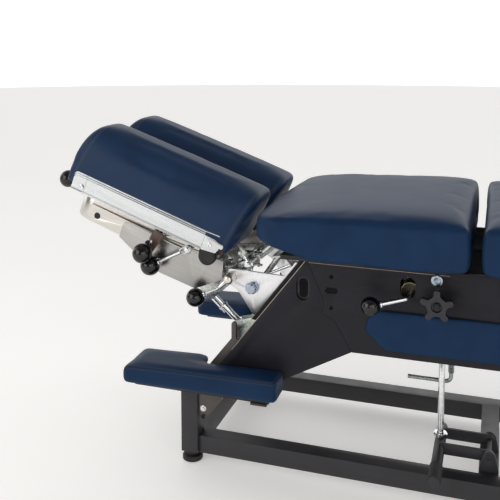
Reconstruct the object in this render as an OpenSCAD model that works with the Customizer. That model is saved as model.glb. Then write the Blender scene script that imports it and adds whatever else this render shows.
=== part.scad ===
// Chiropractic table with a tilting, dropping head section and two dropping body sections.
// Millimetres, Z up, floor at Z = 0, X along the table (head end at minus X),
// near side at minus Y, origin at the bottom centre.

/* [Deck] */
// Width of the body cushions across the table
deck_w = 520; // [500:10:560]
// Height of the cushions' underside above the floor
deck_z = 480; // [460:5:540]
// Height of a body cushion's side
pad_t = 80; // [60:5:100]
// Rise of the cushions' crown above their sides
pad_crown = 18; // [8:1:20]
// Length of the chest cushion
chest_len = 410; // [380:5:460]
// Length of the pelvic cushion
pelvic_len = 420; // [380:5:460]
// Length of the leg cushion
leg_len = 448; // [400:4:520]
// Gap between neighbouring body cushions
pad_gap = 16; // [12:1:24]

/* [Frame] */
// Width over the side plates
frame_w = 386; // [370:2:400]
// Thickness of the side and nose plates
plate_t = 6; // [4:0.5:8]
// Height of the side plates
rail_h = 179; // [165:1:190]
// Slope of the nose's front edge from level
nose_slope = 52.5; // [50:0.5:55]
// Size of the square leg tubes
leg_s = 38; // [30:1:40]
// Wall of the leg and floor tubes
tube_wall = 2.5; // [1.5:0.5:4]
// Height of the levelling feet below the leg tubes
foot_h = 22; // [16:1:30]

/* [Head section] */
// Tilt of the head section above level
tilt = 20; // [15:1:22]
// Length of a head cushion
roll_len = 402; // [360:2:430]
// Width of one head cushion
roll_w = 158; // [140:2:166]
// Height of a head cushion
roll_h = 137; // [110:1:150]
// Face gap between the two head cushions
face_gap = 36; // [24:2:60]
// Diameter of the ball knobs
ball_d = 38; // [32:1:40]
// Thickness of the head section's side plates
head_plate_t = 4; // [3:0.5:5]

/* [Armrests] */
// Length of an armrest pad
arm_len = 338; // [320:2:360]
// Width of an armrest pad's wide end
arm_w = 112; // [100:2:120]
// Thickness of an armrest pad
arm_t = 40; // [35:1:50]
// Height of an armrest pad's top above the floor
arm_top = 230; // [226:1:236]

/* [Hidden] */

// Fine facets for round pieces, and coarse ones for hulls
$fn = 48;
hull_fn = 32;
// Overrun of every cut past the face it opens
cut = 1;
// Running clearance of a shaft in its bore, on the radius
run_clear = 0.05;
// Gap left between pieces that rest or slide on one another
seat_gap = 0.3;
// Thickness of the slices that a cushion's hull is made from
slice = 0.5;

// Height levels of a body cushion: share of its height, share of its edge radius drawn in
side_level_shares = [[0, 0.55], [0.08, 0.22], [0.25, 0.04], [0.45, 0], [0.7, 0.04], [0.86, 0.2],
    [0.95, 0.5], [1, 0.9]];
// Crown levels: share of the crown's rise, share of the half width drawn in
crown_level_shares = [[0.45, 0.1], [0.78, 0.26], [0.94, 0.48], [1, 0.78]];
// Share of a crown level's half width that its corners take
crown_round_share = 0.55;
// Edge radius of the cushions, and their plan corners at the head end and elsewhere
edge_r = 20;
chest_corner_r = 66;
corner_r = 14;
corner_min_r = 5;

// Tilt pivot: set ahead of the chest cushion, below its underside
pivot_set = 88;
pivot_drop = 83;
// Reach of the head-end knob's centre from the pivot, and its rise, in the head's own frame
plunger_out = 56;
plunger_x = roll_len + plunger_out;
plunger_z = 27;

// X of the chest cushion's foot end, which centres the table on the origin
head_span = chest_len + pivot_set + plunger_x * cos(tilt) - plunger_z * sin(tilt) + ball_d / 2;
foot_span = pad_gap + pelvic_len + pad_gap + leg_len;
chest_x1 = (head_span - foot_span) / 2;
chest_x0 = chest_x1 - chest_len;
pelvic_x0 = chest_x1 + pad_gap;
pelvic_x1 = pelvic_x0 + pelvic_len;
leg_x0 = pelvic_x1 + pad_gap;
leg_x1 = leg_x0 + leg_len;
pivot_x = chest_x0 - pivot_set;
pivot_z = deck_z - pivot_drop;

// Side plates
plate_y = frame_w / 2;
rail_gap = 12;
rail_top = deck_z - rail_gap;
rail_bot = rail_top - rail_h;
plate_in = plate_y - plate_t;
nose_set = 93;
nose_x = chest_x0 + nose_set;
nose_foot_z = 171;
nose_foot_h = 13;
nose_low_z = nose_foot_z - nose_foot_h;
belly_set = 186;
belly_x = chest_x0 + belly_set;
belly_slope = 28.6;
plate_end_set = 80;
plate_x1 = leg_x1 - plate_end_set;
seam = 0.8;
function nose_at(z) = nose_x - (rail_top - z) / tan(nose_slope);
function belly_at(z) = belly_x - (rail_bot - z) / tan(belly_slope);
// Seam between nose plate and side plate: shares of nose width from the nose corner, of rail height
seam_shares = [[0.02, 1], [0.06, 0.94], [0.39, 0.56], [0.365, 0.4], [0.61, 0.35], [1, 0]];
seam_run = belly_x - nose_x;
function seam_pts(s) = [for (p = seam_shares) [nose_x + p[0] * seam_run + s, rail_bot + p[1] * rail_h]];
function rev(a) = [for (i = [len(a) - 1:-1:0]) a[i]];

// Obround slot in the nose plate with its liner
nose_slot_w = 27;
nose_slot_h = 48;
nose_slot_set = 86;
nose_slot_x = chest_x0 + nose_slot_set;
nose_slot_drop = 60;
nose_slot_z = rail_top - nose_slot_drop;
liner_t = 2;

// Small holes and slot in the side plate
small_hole_r = 4;
small_hole_set = 144;
small_hole_x = chest_x0 + small_hole_set;
small_hole_rise = [30, 93];
small_slot_w = 26;
small_slot_h = 12;
small_slot_drop = 58;

// Drop section: places counted back from its cushion's foot end
hinge_back = 63;
hinge_drop = 29;
hinge_z = deck_z - hinge_drop;
hinge_r = 5;
hinge_head_r = 10;
hinge_head_t = 5;
star_back = 60;
star_drop = 69;
star_z = deck_z - star_drop;
slot_back = 117;
slot_w = 29;
slot_h = 42;
slot_drop = 49;
slot_z = deck_z - slot_drop;
lever_r = 4.5;
lever_rise = 1.5;
lever_z = slot_z - slot_h / 2 + lever_r + lever_rise;
lever_back = 113;
lever_pivot_y = 60;
lever_bend_set = 16;
lever_bend_y = plate_y + lever_bend_set;
ball_run = 63;
ball_back = slot_back + ball_run;
ball_set = 54;
ball_out = plate_y + ball_set;
ball_fall = 7;
ball_z = lever_z - ball_fall;
ball_small_d = 34;
lever_reach_y = ball_out + ball_small_d / 2;
shaft_r = 6;
shaft_l = 44;
hub_r = 11;

// Drop frame and board under a dropping cushion
board_t = 9;
board_in = 45;
bar_t = 12;
bar_w = 28;
board_z = deck_z - board_t;
bar_z = board_z - bar_t;
ear_t = 6;
ear_gap = 2;
ear_r = 13;
ear_y = plate_in - ear_gap;
bar_y = ear_y - ear_t;

// Inner rails and cross members
in_rail_s = 26;
in_rail_rise = 8;
in_rail_z = rail_bot + in_rail_rise;
cross_w = 30;
cross_h = 26;

// Legs and floor frame
leg_set = 181;
front_leg_x = chest_x0 - leg_set;
front_leg_top = arm_top - arm_t - board_t - seat_gap;
rear_leg_set = 138;
rear_leg_x = leg_x1 - rear_leg_set;
leg_y = plate_y - leg_s;
rear_leg_y = plate_in - leg_s;
foot_r = 22;
foot_pad_h = 12;
foot_neck_r = 12;
foot_cap_t = 4;

// Rod, pedal and handle under the deck
rod_r = 6.35;
rod_back = 56;
rod_x = chest_x1 - rod_back;
rod_y = -100;
rod_z0 = 98;
rod_z1 = 352;
rod_foot_r = 14;
rod_foot_h = 8;
pedal_r = 11;
pedal_arm = 96;
pedal_x = rod_x + pedal_arm;
pedal_z = rod_z0 - pedal_r - seat_gap;
pedal_y0 = -256;
pedal_y1 = -40;
handle_back = 39;
handle_x = chest_x1 - handle_back;
handle_y = -74;
handle_z = 204;
handle_reach = 88;
handle_r = 4;
handle_post_r = 6;

// Head section, in its own frame
shaft_head_r = 8;
bracket_t = 6;
bracket_y = 130;
pan_y = 142.7;
pan_t = 2;
head_plate_y = pan_y + seat_gap + head_plate_t;
strip_y = 182;
board_head_t = 16;
board_head_z = 42;
board_head_y = 150;
roll_z = board_head_z + board_head_t + seat_gap;
roll_x1 = -16;
roll_lean = 10;

module at_head() {
    translate([pivot_x, 0, pivot_z]) rotate([0, tilt, 0]) children();
}

// Extrudes an outline drawn in X and Z between two Y values
module xz(y0, y1) {
    translate([0, y1, 0]) rotate([90, 0, 0]) linear_extrude(y1 - y0) children();
}

module both_sides() {
    children();
    mirror([0, 1, 0]) children();
}

// Round bar along Y
module y_bar(x, z, y0, y1, r) {
    translate([x, y1, z]) rotate([90, 0, 0]) cylinder(h = y1 - y0, r = r);
}

// Round bar between two points
module bar(p, q, r) {
    d = q - p;
    l = norm(d);
    translate(p) rotate([0, acos(d[2] / l), atan2(d[1], d[0])]) cylinder(h = l, r = r);
}

// Bent round rod through a list of points
module bent_rod(pts, r) {
    for (i = [0:len(pts) - 2]) bar(pts[i], pts[i + 1], r);
    for (i = [1:len(pts) - 2]) translate(pts[i]) sphere(r = r + run_clear);
}

module box(a, b) {
    translate(a) cube(b - a);
}

module obround(w, h) {
    for (s = [-1, 1]) translate([0, s * (h - w) / 2]) circle(d = w);
    square([w, h - w], center = true);
}

// Square tube along X, Y or Z with open ends
module tube_z(x, y, z0, z1, s) {
    difference() {
        box([x, y, z0], [x + s, y + s, z1]);
        box([x + tube_wall, y + tube_wall, z0 - cut], [x + s - tube_wall, y + s - tube_wall, z1 + cut]);
    }
}

module tube_x(x0, x1, y, z, s) {
    difference() {
        box([x0, y, z], [x1, y + s, z + s]);
        box([x0 - cut, y + tube_wall, z + tube_wall], [x1 + cut, y + s - tube_wall, z + s - tube_wall]);
    }
}

module tube_y(x, y0, y1, z, s) {
    difference() {
        box([x, y0, z], [x + s, y1, z + s]);
        box([x + tube_wall, y0 - cut, z + tube_wall], [x + s - tube_wall, y1 + cut, z + s - tube_wall]);
    }
}

// One level of a cushion: a rounded rectangle, drawn in, with its own radii at the two X ends
module pad_level(x0, x1, y0, y1, z, in, r0, r1) {
    ra = max(r0 - in, corner_min_r);
    rb = max(r1 - in, corner_min_r);
    for (y = [[y0 + in, 1], [y1 - in, -1]]) {
        translate([x0 + in + ra, y[0] + y[1] * ra, z]) cylinder(h = slice, r = ra, $fn = hull_fn);
        translate([x1 - in - rb, y[0] + y[1] * rb, z]) cylinder(h = slice, r = rb, $fn = hull_fn);
    }
}

// Upholstered block with drawn-in sides and a crown
module pad(x0, x1, y0, y1, z0, t, crown, edge, r0, r1) {
    half = min(x1 - x0, y1 - y0) / 2;
    hull() {
        for (l = side_level_shares)
            pad_level(x0, x1, y0, y1, z0 + l[0] * (t - slice), l[1] * edge, r0, r1);
        for (l = crown_level_shares) {
            in = edge + l[1] * (half - edge);
            r = in + crown_round_share * (half - in);
            pad_level(x0, x1, y0, y1, z0 + t + l[0] * (crown - slice), in, r, r);
        }
    }
}

// Side and nose plates

module side_outline() {
    pts = seam_pts(seam / 2);
    difference() {
        polygon(concat(pts, [
            [rear_leg_x - belly_reach, rail_bot],
            [rear_leg_x - tube_wall, rear_low_z],
            [plate_x1 - corner_r, rear_low_z],
            [plate_x1, rear_low_z + corner_r],
            [plate_x1, rail_top]]));
        for (z = small_hole_rise) translate([small_hole_x, rail_top - z]) circle(r = small_hole_r);
        translate([small_hole_x, rail_top - small_slot_drop]) rotate(90) obround(small_slot_h, small_slot_w);
        for (x1 = [chest_x1, pelvic_x1]) {
            translate([x1 - slot_back, slot_z]) obround(slot_w, slot_h);
            translate([x1 - hinge_back, hinge_z]) circle(r = hinge_r + run_clear);
            translate([x1 - star_back, star_z]) circle(r = stud_r + run_clear);
        }
    }
}
belly_reach = 140;
rear_low_drop = 77;
rear_low_z = rail_bot - rear_low_drop;
stud_r = 4;

module side_plates() {
    color("#2e2d33") both_sides() xz(-plate_y, -plate_in) side_outline();
}

module nose_outline() {
    difference() {
        polygon(concat(rev(seam_pts(-seam / 2)), [
            [nose_x, rail_top],
            [nose_at(nose_foot_z), nose_foot_z],
            [nose_at(nose_foot_z) + nose_foot_h, nose_low_z],
            [belly_at(nose_low_z), nose_low_z]]));
        translate([nose_slot_x, nose_slot_z]) obround(nose_slot_w, nose_slot_h);
    }
}

module nose_plates() {
    color("#2e2d33") both_sides() xz(-plate_y, -plate_in) nose_outline();
}

module slot_liners() {
    color("#1b1b1d") both_sides() xz(-plate_in, -plate_in + liner_t)
        translate([nose_slot_x, nose_slot_z]) difference() {
            obround(nose_slot_w + liner_lip, nose_slot_h + liner_lip);
            obround(nose_slot_w - liner_lip, nose_slot_h - liner_lip);
        }
}
liner_lip = 8;

// Inner rails along the plates, and the cross members between them
module frame_rails() {
    color("#232327") {
        both_sides() tube_x(belly_x + seam_clear, rear_leg_x - seam_clear, -plate_in, in_rail_z, in_rail_s);
        for (x = cross_places) box([x, -plate_in + in_rail_s, in_rail_z],
            [x + cross_w, plate_in - in_rail_s, in_rail_z + cross_h]);
        difference() {
            box([rod_x - cross_w / 2, -plate_in + in_rail_s, in_rail_z],
                [handle_x + cross_w / 2, plate_in - in_rail_s, in_rail_z + cross_h]);
            translate([rod_x, rod_y, in_rail_z - cut])
                cylinder(h = cross_h + 2 * cut, r = rod_r + seat_gap);
            translate([handle_x, handle_y, in_rail_z - cut])
                cylinder(h = cross_h + 2 * cut, r = handle_post_r + run_clear);
        }
    }
}
seam_clear = 4;
cross_head_set = 230;
cross_foot_set = 60;
cross_places = [chest_x0 + cross_head_set, chest_x1 + pelvic_len / 2, leg_x0 + cross_foot_set];

// Slanted sheet between the nose plates, lying behind their front edge
module slanted(front, back, z0, z1, y) {
    xz(-y, y) polygon([
        [nose_at(z0) - front, z0],
        [nose_at(z0) + back, z0],
        [nose_at(z1) + back, z1],
        [nose_at(z1) - front, z1]]);
}

module nose_web() {
    color("#232327") slanted(0, web_t, web_z0, rail_top - rail_gap, plate_in);
}
web_t = 7;
web_z0 = 200;

module nose_face_plate() {
    color("#1d1d20") slanted(face_t, -run_clear, face_z0, rail_top - web_t, face_y);
}
face_t = 12;
face_front = face_t + run_clear;
face_y = 168;
face_z0 = 322;

// Straps along the nose's front edge down to the legs, each with a rounded lug at its top
module leg_braces() {
    color("#4a4440") both_sides() difference() {
        xz(-plate_in, -plate_in + brace_t) {
            polygon([
                [nose_at(lug_z0), lug_z0],
                [nose_at(lug_z0) - lug_w, lug_z0],
                [nose_at(brace_z1) - brace_w, brace_z1],
                [front_leg_x + leg_s, brace_z1],
                [front_leg_x + leg_s, brace_z0],
                [front_leg_x + leg_s + brace_w, brace_z0],
                [belly_at(nose_low_z) - brace_foot, nose_low_z - nose_foot_h],
                [nose_at(web_z0) + brace_w, web_z0],
                [nose_at(web_z0), web_z0]]);
            translate([nose_at(lug_z0) - lug_w, lug_z0]) square([lug_w / 2, lug_h]);
            translate([nose_at(lug_z0) - lug_w + lug_w / 4, lug_z0 + lug_h]) circle(d = lug_w / 2);
        }
        y_bar(front_leg_x + leg_s + brace_w / 2, brace_bolt_z, -plate_y, -plate_in + brace_t + cut, bolt_r);
    }
}
brace_t = 8;
brace_w = 22;
brace_z0 = 108;
brace_z1 = front_leg_top;
brace_foot = 36;
brace_bolt_z = 122;
lug_w = 20;
lug_h = 30;
lug_z0 = 284;
bolt_r = 4;

module front_legs() {
    color("#2a2a2d") both_sides() tube_z(front_leg_x, -plate_y, foot_h, front_leg_top, leg_s);
}

module rear_legs() {
    color("#2a2a2d") both_sides() tube_z(rear_leg_x, -plate_in, foot_h, rail_top - rail_gap, leg_s);
}

// Tubes near the floor that tie the legs together and carry the pedal
module floor_frame() {
    color("#2a2a2d") {
        both_sides() tube_x(front_leg_x + leg_s, rear_leg_x, -plate_in, foot_h, leg_s);
        tube_y(front_leg_x, -leg_y, leg_y, foot_h, leg_s);
        tube_y(rear_leg_x, -rear_leg_y, rear_leg_y, foot_h, leg_s);
        difference() {
            union() {
                tube_y(pedal_x - leg_s / 2, -rear_leg_y, rear_leg_y, foot_h, leg_s);
                for (y = pedal_ears) xz(y, y + ear_t) hull() {
                    translate([pedal_x - leg_s / 2, foot_h + leg_s]) square([leg_s, slice]);
                    translate([pedal_x, pedal_z]) circle(r = ear_r, $fn = hull_fn);
                }
            }
            y_bar(pedal_x, pedal_z, pedal_ears[0] - cut, pedal_ears[1] + ear_t + cut, hinge_r + run_clear);
        }
    }
}
pedal_ears = [-138, -58];

module levelling_feet() {
    color("#151515") for (x = [front_leg_x, rear_leg_x], s = [-1, 1])
        translate([x + leg_s / 2, s * ((x == front_leg_x ? leg_y : rear_leg_y) + leg_s / 2), 0]) {
            cylinder(h = foot_pad_h, r = foot_r);
            translate([0, 0, foot_pad_h]) cylinder(h = foot_h - foot_pad_h - foot_cap_t, r = foot_neck_r);
            box([-leg_s / 2, -leg_s / 2, foot_h - foot_cap_t], [leg_s / 2, leg_s / 2, foot_h]);
        }
}

// Padded navy inlays on the side plates
module side_panels() {
    color("#2b3a58") both_sides() hull() for (l = panel_level_shares)
        xz(-plate_y - l[0] * panel_t - slice, -plate_y - l[0] * panel_t) offset(delta = -l[1] * panel_t)
            polygon([
                [panel_x0, panel_z0 + panel_h * panel_knee_shares[0]],
                [panel_x0 + panel_h * panel_knee_shares[1], panel_z0],
                [panel_x1 - panel_round, panel_z0],
                [panel_x1, panel_z0 + panel_round],
                [panel_x1, panel_z1 - panel_round],
                [panel_x1 - panel_round, panel_z1],
                [panel_x0 + panel_h * panel_knee_shares[2], panel_z1],
                [panel_x0 + panel_h * panel_knee_shares[3], panel_z0 + panel_h * panel_knee_shares[4]]]);
}
panel_level_shares = [[0, 0], [0.5, 0.1], [0.85, 0.4], [1, 1]];
panel_knee_shares = [0.45, 0.5, 0.35, 0.06, 0.78];
panel_t = 8;
panel_h = 82;
panel_rise = 12;
panel_z0 = rail_bot + panel_rise;
panel_z1 = panel_z0 + panel_h;
panel_set = 199;
panel_x0 = chest_x1 - panel_set;
panel_reach = 110;
panel_x1 = leg_x0 + panel_reach;
panel_round = 24;

// Armrests
arm_out = lever_reach_y + seat_gap;
arm_set = 286;
arm_x0 = chest_x0 - arm_set;
arm_x1 = arm_x0 + arm_len;
arm_z = arm_top - arm_t;
arm_narrow = arm_out - plate_y - 2 * seat_gap;
arm_clear = 4;
arm_edge = 8;
arm_corner_r = 13;
arm_inner_r = 34;
arm_fn = 24;
arm_wide_x1 = nose_at(arm_z) - brace_w - arm_clear;
// Levels of an armrest pad: share of its thickness, share of its edge radius drawn in
arm_level_shares = [[0, 0.3], [0.15, 0], [0.62, 0.02], [0.84, 0.25], [0.95, 0.62], [1, 1.1]];

// Block of levels whose foot end follows the nose's slope by a share of it
module arm_block(x1, slope_share, y1, in, inner_r) {
    hull() for (l = arm_level_shares) {
        z = arm_z + in + l[0] * (arm_t - slice - 2 * in);
        d = l[1] * arm_edge + in;
        end = x1 + slope_share * (nose_at(z) - nose_at(arm_z));
        for (c = [[arm_x0, -arm_out, 1, 1, arm_corner_r], [arm_x0, y1, 1, -1, arm_corner_r],
            [end, -arm_out, -1, 1, arm_corner_r], [end, y1, -1, -1, inner_r]]) {
            r = max(c[4] - l[1] * arm_edge, corner_min_r);
            at = [c[0] + c[2] * (d + r), c[1] + c[3] * (d + r), z];
            translate(at) cylinder(h = slice, r = r, $fn = arm_fn);
        }
    }
}

// Narrow pad along the plate, widening ahead of the nose
module arm_pad() {
    arm_block(arm_x1, 0, -arm_out + arm_narrow, 0, arm_corner_r);
    arm_block(arm_wide_x1, 1, -arm_out + arm_w, seat_gap, arm_inner_r);
}

module armrest_pads() {
    color("#2b3a58") both_sides() arm_pad();
}

module armrest_boards() {
    color("#1f1b1a") both_sides() {
        box([arm_x0 + arm_board_in, -arm_out + arm_board_in, arm_z - board_t],
            [arm_x1 - arm_board_in, -plate_y - arm_clear, arm_z - seat_gap]);
        box([arm_x0 + arm_board_in, -plate_y - arm_clear, arm_z - board_t],
            [arm_wide_x1 - arm_board_in, -arm_out + arm_w - arm_board_in, arm_z - seat_gap]);
    }
}
arm_board_in = 22;

// Angle under each armrest, bolted inside the nose plate's lower edge
module armrest_brackets() {
    color("#2a1d1a") both_sides() {
        box([arm_brk_x, -plate_y - arm_narrow * arm_brk_share, arm_z - board_t - arm_brk_t],
            [arm_brk_x + arm_brk_w, -plate_in, arm_z - board_t]);
        box([arm_brk_x, -plate_in, arm_z - board_t - arm_brk_t],
            [arm_brk_x + arm_brk_w, -plate_in + arm_brk_t, arm_z - board_t + arm_brk_h]);
    }
}
arm_brk_share = 0.75;
arm_brk_t = 5;
arm_brk_w = 34;
arm_brk_h = 48;
arm_brk_set = 8;
arm_brk_x = chest_x0 - arm_brk_set;

// Chrome U bracket that carries the pivot shaft, bolted to the nose's face plate
module pivot_bracket() {
    color("#d9d9dc") difference() {
        union() {
            both_sides() xz(-bracket_y, -bracket_y + bracket_t) {
                polygon([
                    [pivot_x, pivot_z + boss_r],
                    [nose_at(brk_z1) - face_front, brk_z1],
                    [nose_at(brk_z0) - face_front, brk_z0],
                    [nose_at(brk_z0) - face_front - bracket_t, brk_z0],
                    [pivot_x + brk_hook, pivot_z - brk_hook_z],
                    [pivot_x, pivot_z - brk_hook_z + boss_r / 2],
                    [pivot_x - brk_hook - boss_r, pivot_z - brk_hook_z + boss_r / 2]]);
                translate([pivot_x, pivot_z]) circle(r = boss_r);
            }
            slanted(face_front + bracket_t, -face_front, brk_z0, brk_top, bracket_y);
            xz(-bracket_y + lip_in, bracket_y - lip_in) polygon([
                [nose_at(brk_top) - face_front, brk_top],
                [nose_at(brk_top) - face_front - bracket_t, brk_top],
                [nose_at(brk_top) - face_front - bracket_t - lip_w, brk_top],
                [nose_at(brk_top) - face_front - bracket_t - lip_w, brk_top + lip_t],
                [nose_at(brk_top) - face_front, brk_top + lip_t]]);
        }
        y_bar(pivot_x, pivot_z, -bracket_y - cut, bracket_y + cut, shaft_head_r + run_clear);
        y_bar(hex_x, hex_z, -bracket_y - cut, bracket_y + cut, bolt_r);
    }
}
boss_r = 17;
brk_up = 12;
brk_down = 78;
brk_rise = 44;
brk_z1 = pivot_z + brk_up;
brk_z0 = pivot_z - brk_down;
brk_top = pivot_z + brk_rise;
brk_hook = 14;
brk_hook_z = 28;
lip_in = 12;
lip_w = 17;
lip_t = 4;
hex_set = 46;
hex_drop = 20;
hex_x = pivot_x + hex_set;
hex_z = pivot_z - hex_drop;

module pivot_shaft() {
    color("#c9ccd2") y_bar(pivot_x, pivot_z, -bracket_y - shaft_out, bracket_y, shaft_head_r);
}
shaft_out = 12;

// Hex bolt with its washer, pointing along Y
module hex_bolt(x, z, y, dir) {
    translate([x, y, z]) rotate([dir * 90, 0, 0]) {
        cylinder(h = hex_h, r = hex_r, $fn = 6);
        translate([0, 0, -washer_t]) cylinder(h = washer_t, r = washer_r);
        translate([0, 0, -hex_l]) cylinder(h = hex_l, r = bolt_r - run_clear);
    }
}
hex_r = 10;
hex_h = 7;
hex_l = 14;
washer_r = 12;
washer_t = 1.5;

module frame_bolts() {
    color("#cfd2d8") {
        hex_bolt(hex_x, hex_z, -bracket_y - washer_t, 1);
        hex_bolt(hex_x, hex_z, bracket_y + washer_t, -1);
        both_sides() translate([front_leg_x + leg_s + brace_w / 2, -plate_in, brace_bolt_z])
            rotate([90, 0, 0]) {
                cylinder(h = hinge_head_t, r = bolt_r + washer_t);
                translate([0, 0, -brace_t]) cylinder(h = brace_t, r = bolt_r - run_clear);
            }
        for (x1 = [chest_x1, pelvic_x1]) both_sides() {
            y_bar(x1 - hinge_back, hinge_z, -plate_y, -bar_y + ear_gap, hinge_r);
            translate([x1 - hinge_back, -plate_y, hinge_z]) rotate([90, 0, 0])
                cylinder(h = hinge_head_t, r = hinge_head_r);
        }
    }
}

// Zinc clevis on the nose that holds the strut's lower end
module strut_clevis() {
    color("#7d8794") {
        for (y = [clevis_y0, clevis_y1 - clevis_t]) xz(y, y + clevis_t) {
            polygon([
                [nose_at(clevis_z0), clevis_z0],
                [strut_x0, strut_z0 - clevis_r],
                [strut_x0, strut_z0 + clevis_r],
                [nose_at(clevis_z1), clevis_z1]]);
            translate([strut_x0, strut_z0]) circle(r = clevis_r);
        }
        xz(strut_y - clevis_w, strut_y + clevis_w) polygon([
            [nose_at(clevis_z0), clevis_z0],
            [nose_at(clevis_z0) - clevis_t, clevis_z0],
            [nose_at(clevis_z1) - clevis_t, clevis_z1],
            [nose_at(clevis_z1), clevis_z1]]);
        y_bar(strut_x0, strut_z0, clevis_y0, clevis_y1, strut_pin_r);
    }
}
strut_y = -97;
strut_in = 8;
strut_drop = 112;
strut_x0 = pivot_x + strut_in;
strut_z0 = pivot_z - strut_drop;
strut_pin_r = 4;
clevis_r = 9;
clevis_gap = 9;
clevis_t = 4;
clevis_y0 = strut_y - clevis_gap - clevis_t;
clevis_y1 = strut_y + clevis_gap + clevis_t;
clevis_w = 26;
clevis_z0 = 256;
clevis_z1 = 308;

// Strut: unit vector from the clevis pin to the head's lug pin
strut_reach = 58;
strut_lug_drop = 51;
strut_x1 = pivot_x - strut_reach;
strut_z1 = pivot_z - strut_lug_drop;
strut_len = norm([strut_x1 - strut_x0, strut_z1 - strut_z0]);
strut_ang = atan2(strut_x1 - strut_x0, strut_z1 - strut_z0);
strut_eye_r = 9;
strut_eye_t = 6.4;
tube_r = 7;
tube_l = 53;
srod_r = 4.6;
srod_in = 44;
bore_floor = 2;
collar_h = 5;
collar_r = 8.5;
guide_r = 2;
guide_off = 10.5;
open_clear = 2.6;

module at_strut() {
    translate([strut_x0, strut_y, strut_z0]) rotate([0, strut_ang, 0]) children();
}

module strut_tube() {
    color("#d5d8dd") at_strut() difference() {
        union() {
            y_bar(0, 0, -strut_eye_t, strut_eye_t, strut_eye_r);
            translate([0, 0, strut_eye_r / 2]) cylinder(h = tube_l - strut_eye_r / 2, r = tube_r);
            translate([0, 0, tube_l - collar_h]) cylinder(h = collar_h, r = collar_r);
            translate([-guide_off, 0, tube_l - collar_h]) cylinder(h = collar_h, r = guide_r + guide_wall);
            box([-guide_off, -guide_r, tube_l - collar_h], [0, guide_r, tube_l]);
        }
        y_bar(0, 0, -strut_eye_t - cut, strut_eye_t + cut, strut_pin_r + run_clear);
        translate([0, 0, strut_eye_r + bore_floor]) cylinder(h = tube_l, r = srod_r + run_clear);
        translate([-guide_off, 0, tube_l - collar_h - cut])
            cylinder(h = collar_h + 2 * cut, r = guide_r + run_clear);
    }
}
guide_wall = 1.5;

module strut_rod() {
    color("#e2e4e8") at_strut() difference() {
        union() {
            translate([0, 0, strut_len - srod_in - tube_r]) cylinder(h = srod_in, r = srod_r);
            y_bar(0, strut_len, -strut_eye_t, strut_eye_t, strut_eye_r);
            translate([0, 0, strut_len - strut_eye_r - tube_r]) cylinder(h = tube_r, r = srod_r);
            translate([-guide_off, 0, guide_z0]) cylinder(h = strut_len - guide_z0, r = guide_r);
            box([-guide_off, -guide_r, strut_len - 2 * guide_r], [0, guide_r, strut_len]);
        }
        y_bar(0, strut_len, -strut_eye_t - cut, strut_eye_t + cut, strut_pin_r + open_clear);
    }
}
guide_z0 = 38;

// Leg section
module leg_cushion() {
    color("#2b3a58") pad(leg_x0, leg_x1, -deck_w / 2, deck_w / 2, deck_z, pad_t, pad_crown,
        edge_r, corner_r, corner_r);
}

module leg_board() {
    color("#1c1c1e") {
        box([leg_x0 + board_in, -deck_w / 2 + board_in, board_z],
            [leg_x1 - board_in, deck_w / 2 - board_in, deck_z - seat_gap]);
        both_sides() box([leg_x0 + board_in, -plate_y, rail_top],
            [plate_x1 - edge_r, -plate_y + bar_w, board_z]);
    }
}

// Dropping sections
module section_cushion(x0, x1, r0) {
    color("#2b3a58") pad(x0, x1, -deck_w / 2, deck_w / 2, deck_z, pad_t, pad_crown, edge_r, r0, corner_r);
}

module section_board(x0, x1) {
    color("#1c1c1e") box([x0 + board_in, -deck_w / 2 + board_in, board_z],
        [x1 - board_in, deck_w / 2 - board_in, deck_z - seat_gap]);
}

// Two bars and three cross bars under the board, with the hinge ears near the foot end
module section_frame(x0, x1) {
    color("#26262a") difference() {
        union() {
            both_sides() box([x0 + nose_set, -bar_y, bar_z], [x1 - board_in, -bar_y + bar_w, board_z]);
            for (x = [x0 + nose_set, x1 - slot_back - bar_w, x1 - board_in - bar_w])
                box([x, -bar_y + bar_w, bar_z], [x + bar_w, bar_y - bar_w, board_z]);
            both_sides() xz(-bar_y - ear_t, -bar_y) {
                translate([x1 - hinge_back, hinge_z]) circle(r = ear_r);
                translate([x1 - hinge_back - ear_r, hinge_z]) square([2 * ear_r, board_z - hinge_z]);
            }
        }
        y_bar(x1 - hinge_back, hinge_z, -plate_y, plate_y, hinge_r + run_clear);
    }
}

// Cocking lever: hub on its bearing shaft, arm out through the slot, bent back to its ball
function lever_pts(x1) = [
    [x1 - lever_back, -lever_pivot_y - hub_r + hub_gap, lever_z],
    [x1 - lever_back, -lever_bend_y, lever_z],
    [x1 - ball_back, -ball_out, ball_z]];

module cock_lever(x1) {
    pts = lever_pts(x1);
    color("#dcdfe4") difference() {
        union() {
            bent_rod(pts, lever_r);
            translate([x1 - lever_back - shaft_l / 2 + hub_gap, -lever_pivot_y, lever_z]) rotate([0, 90, 0])
                cylinder(h = shaft_l - 2 * hub_gap, r = hub_r);
        }
        translate([x1 - lever_back - shaft_l, -lever_pivot_y, lever_z]) rotate([0, 90, 0])
            cylinder(h = 2 * shaft_l, r = shaft_r + run_clear);
        translate(pts[2]) sphere(r = ball_small_d / 2 + seat_gap);
    }
}
hub_gap = 1;

module ball_knob(p, d) {
    color("#0c0c0d") translate(p) sphere(d = d);
}

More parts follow.
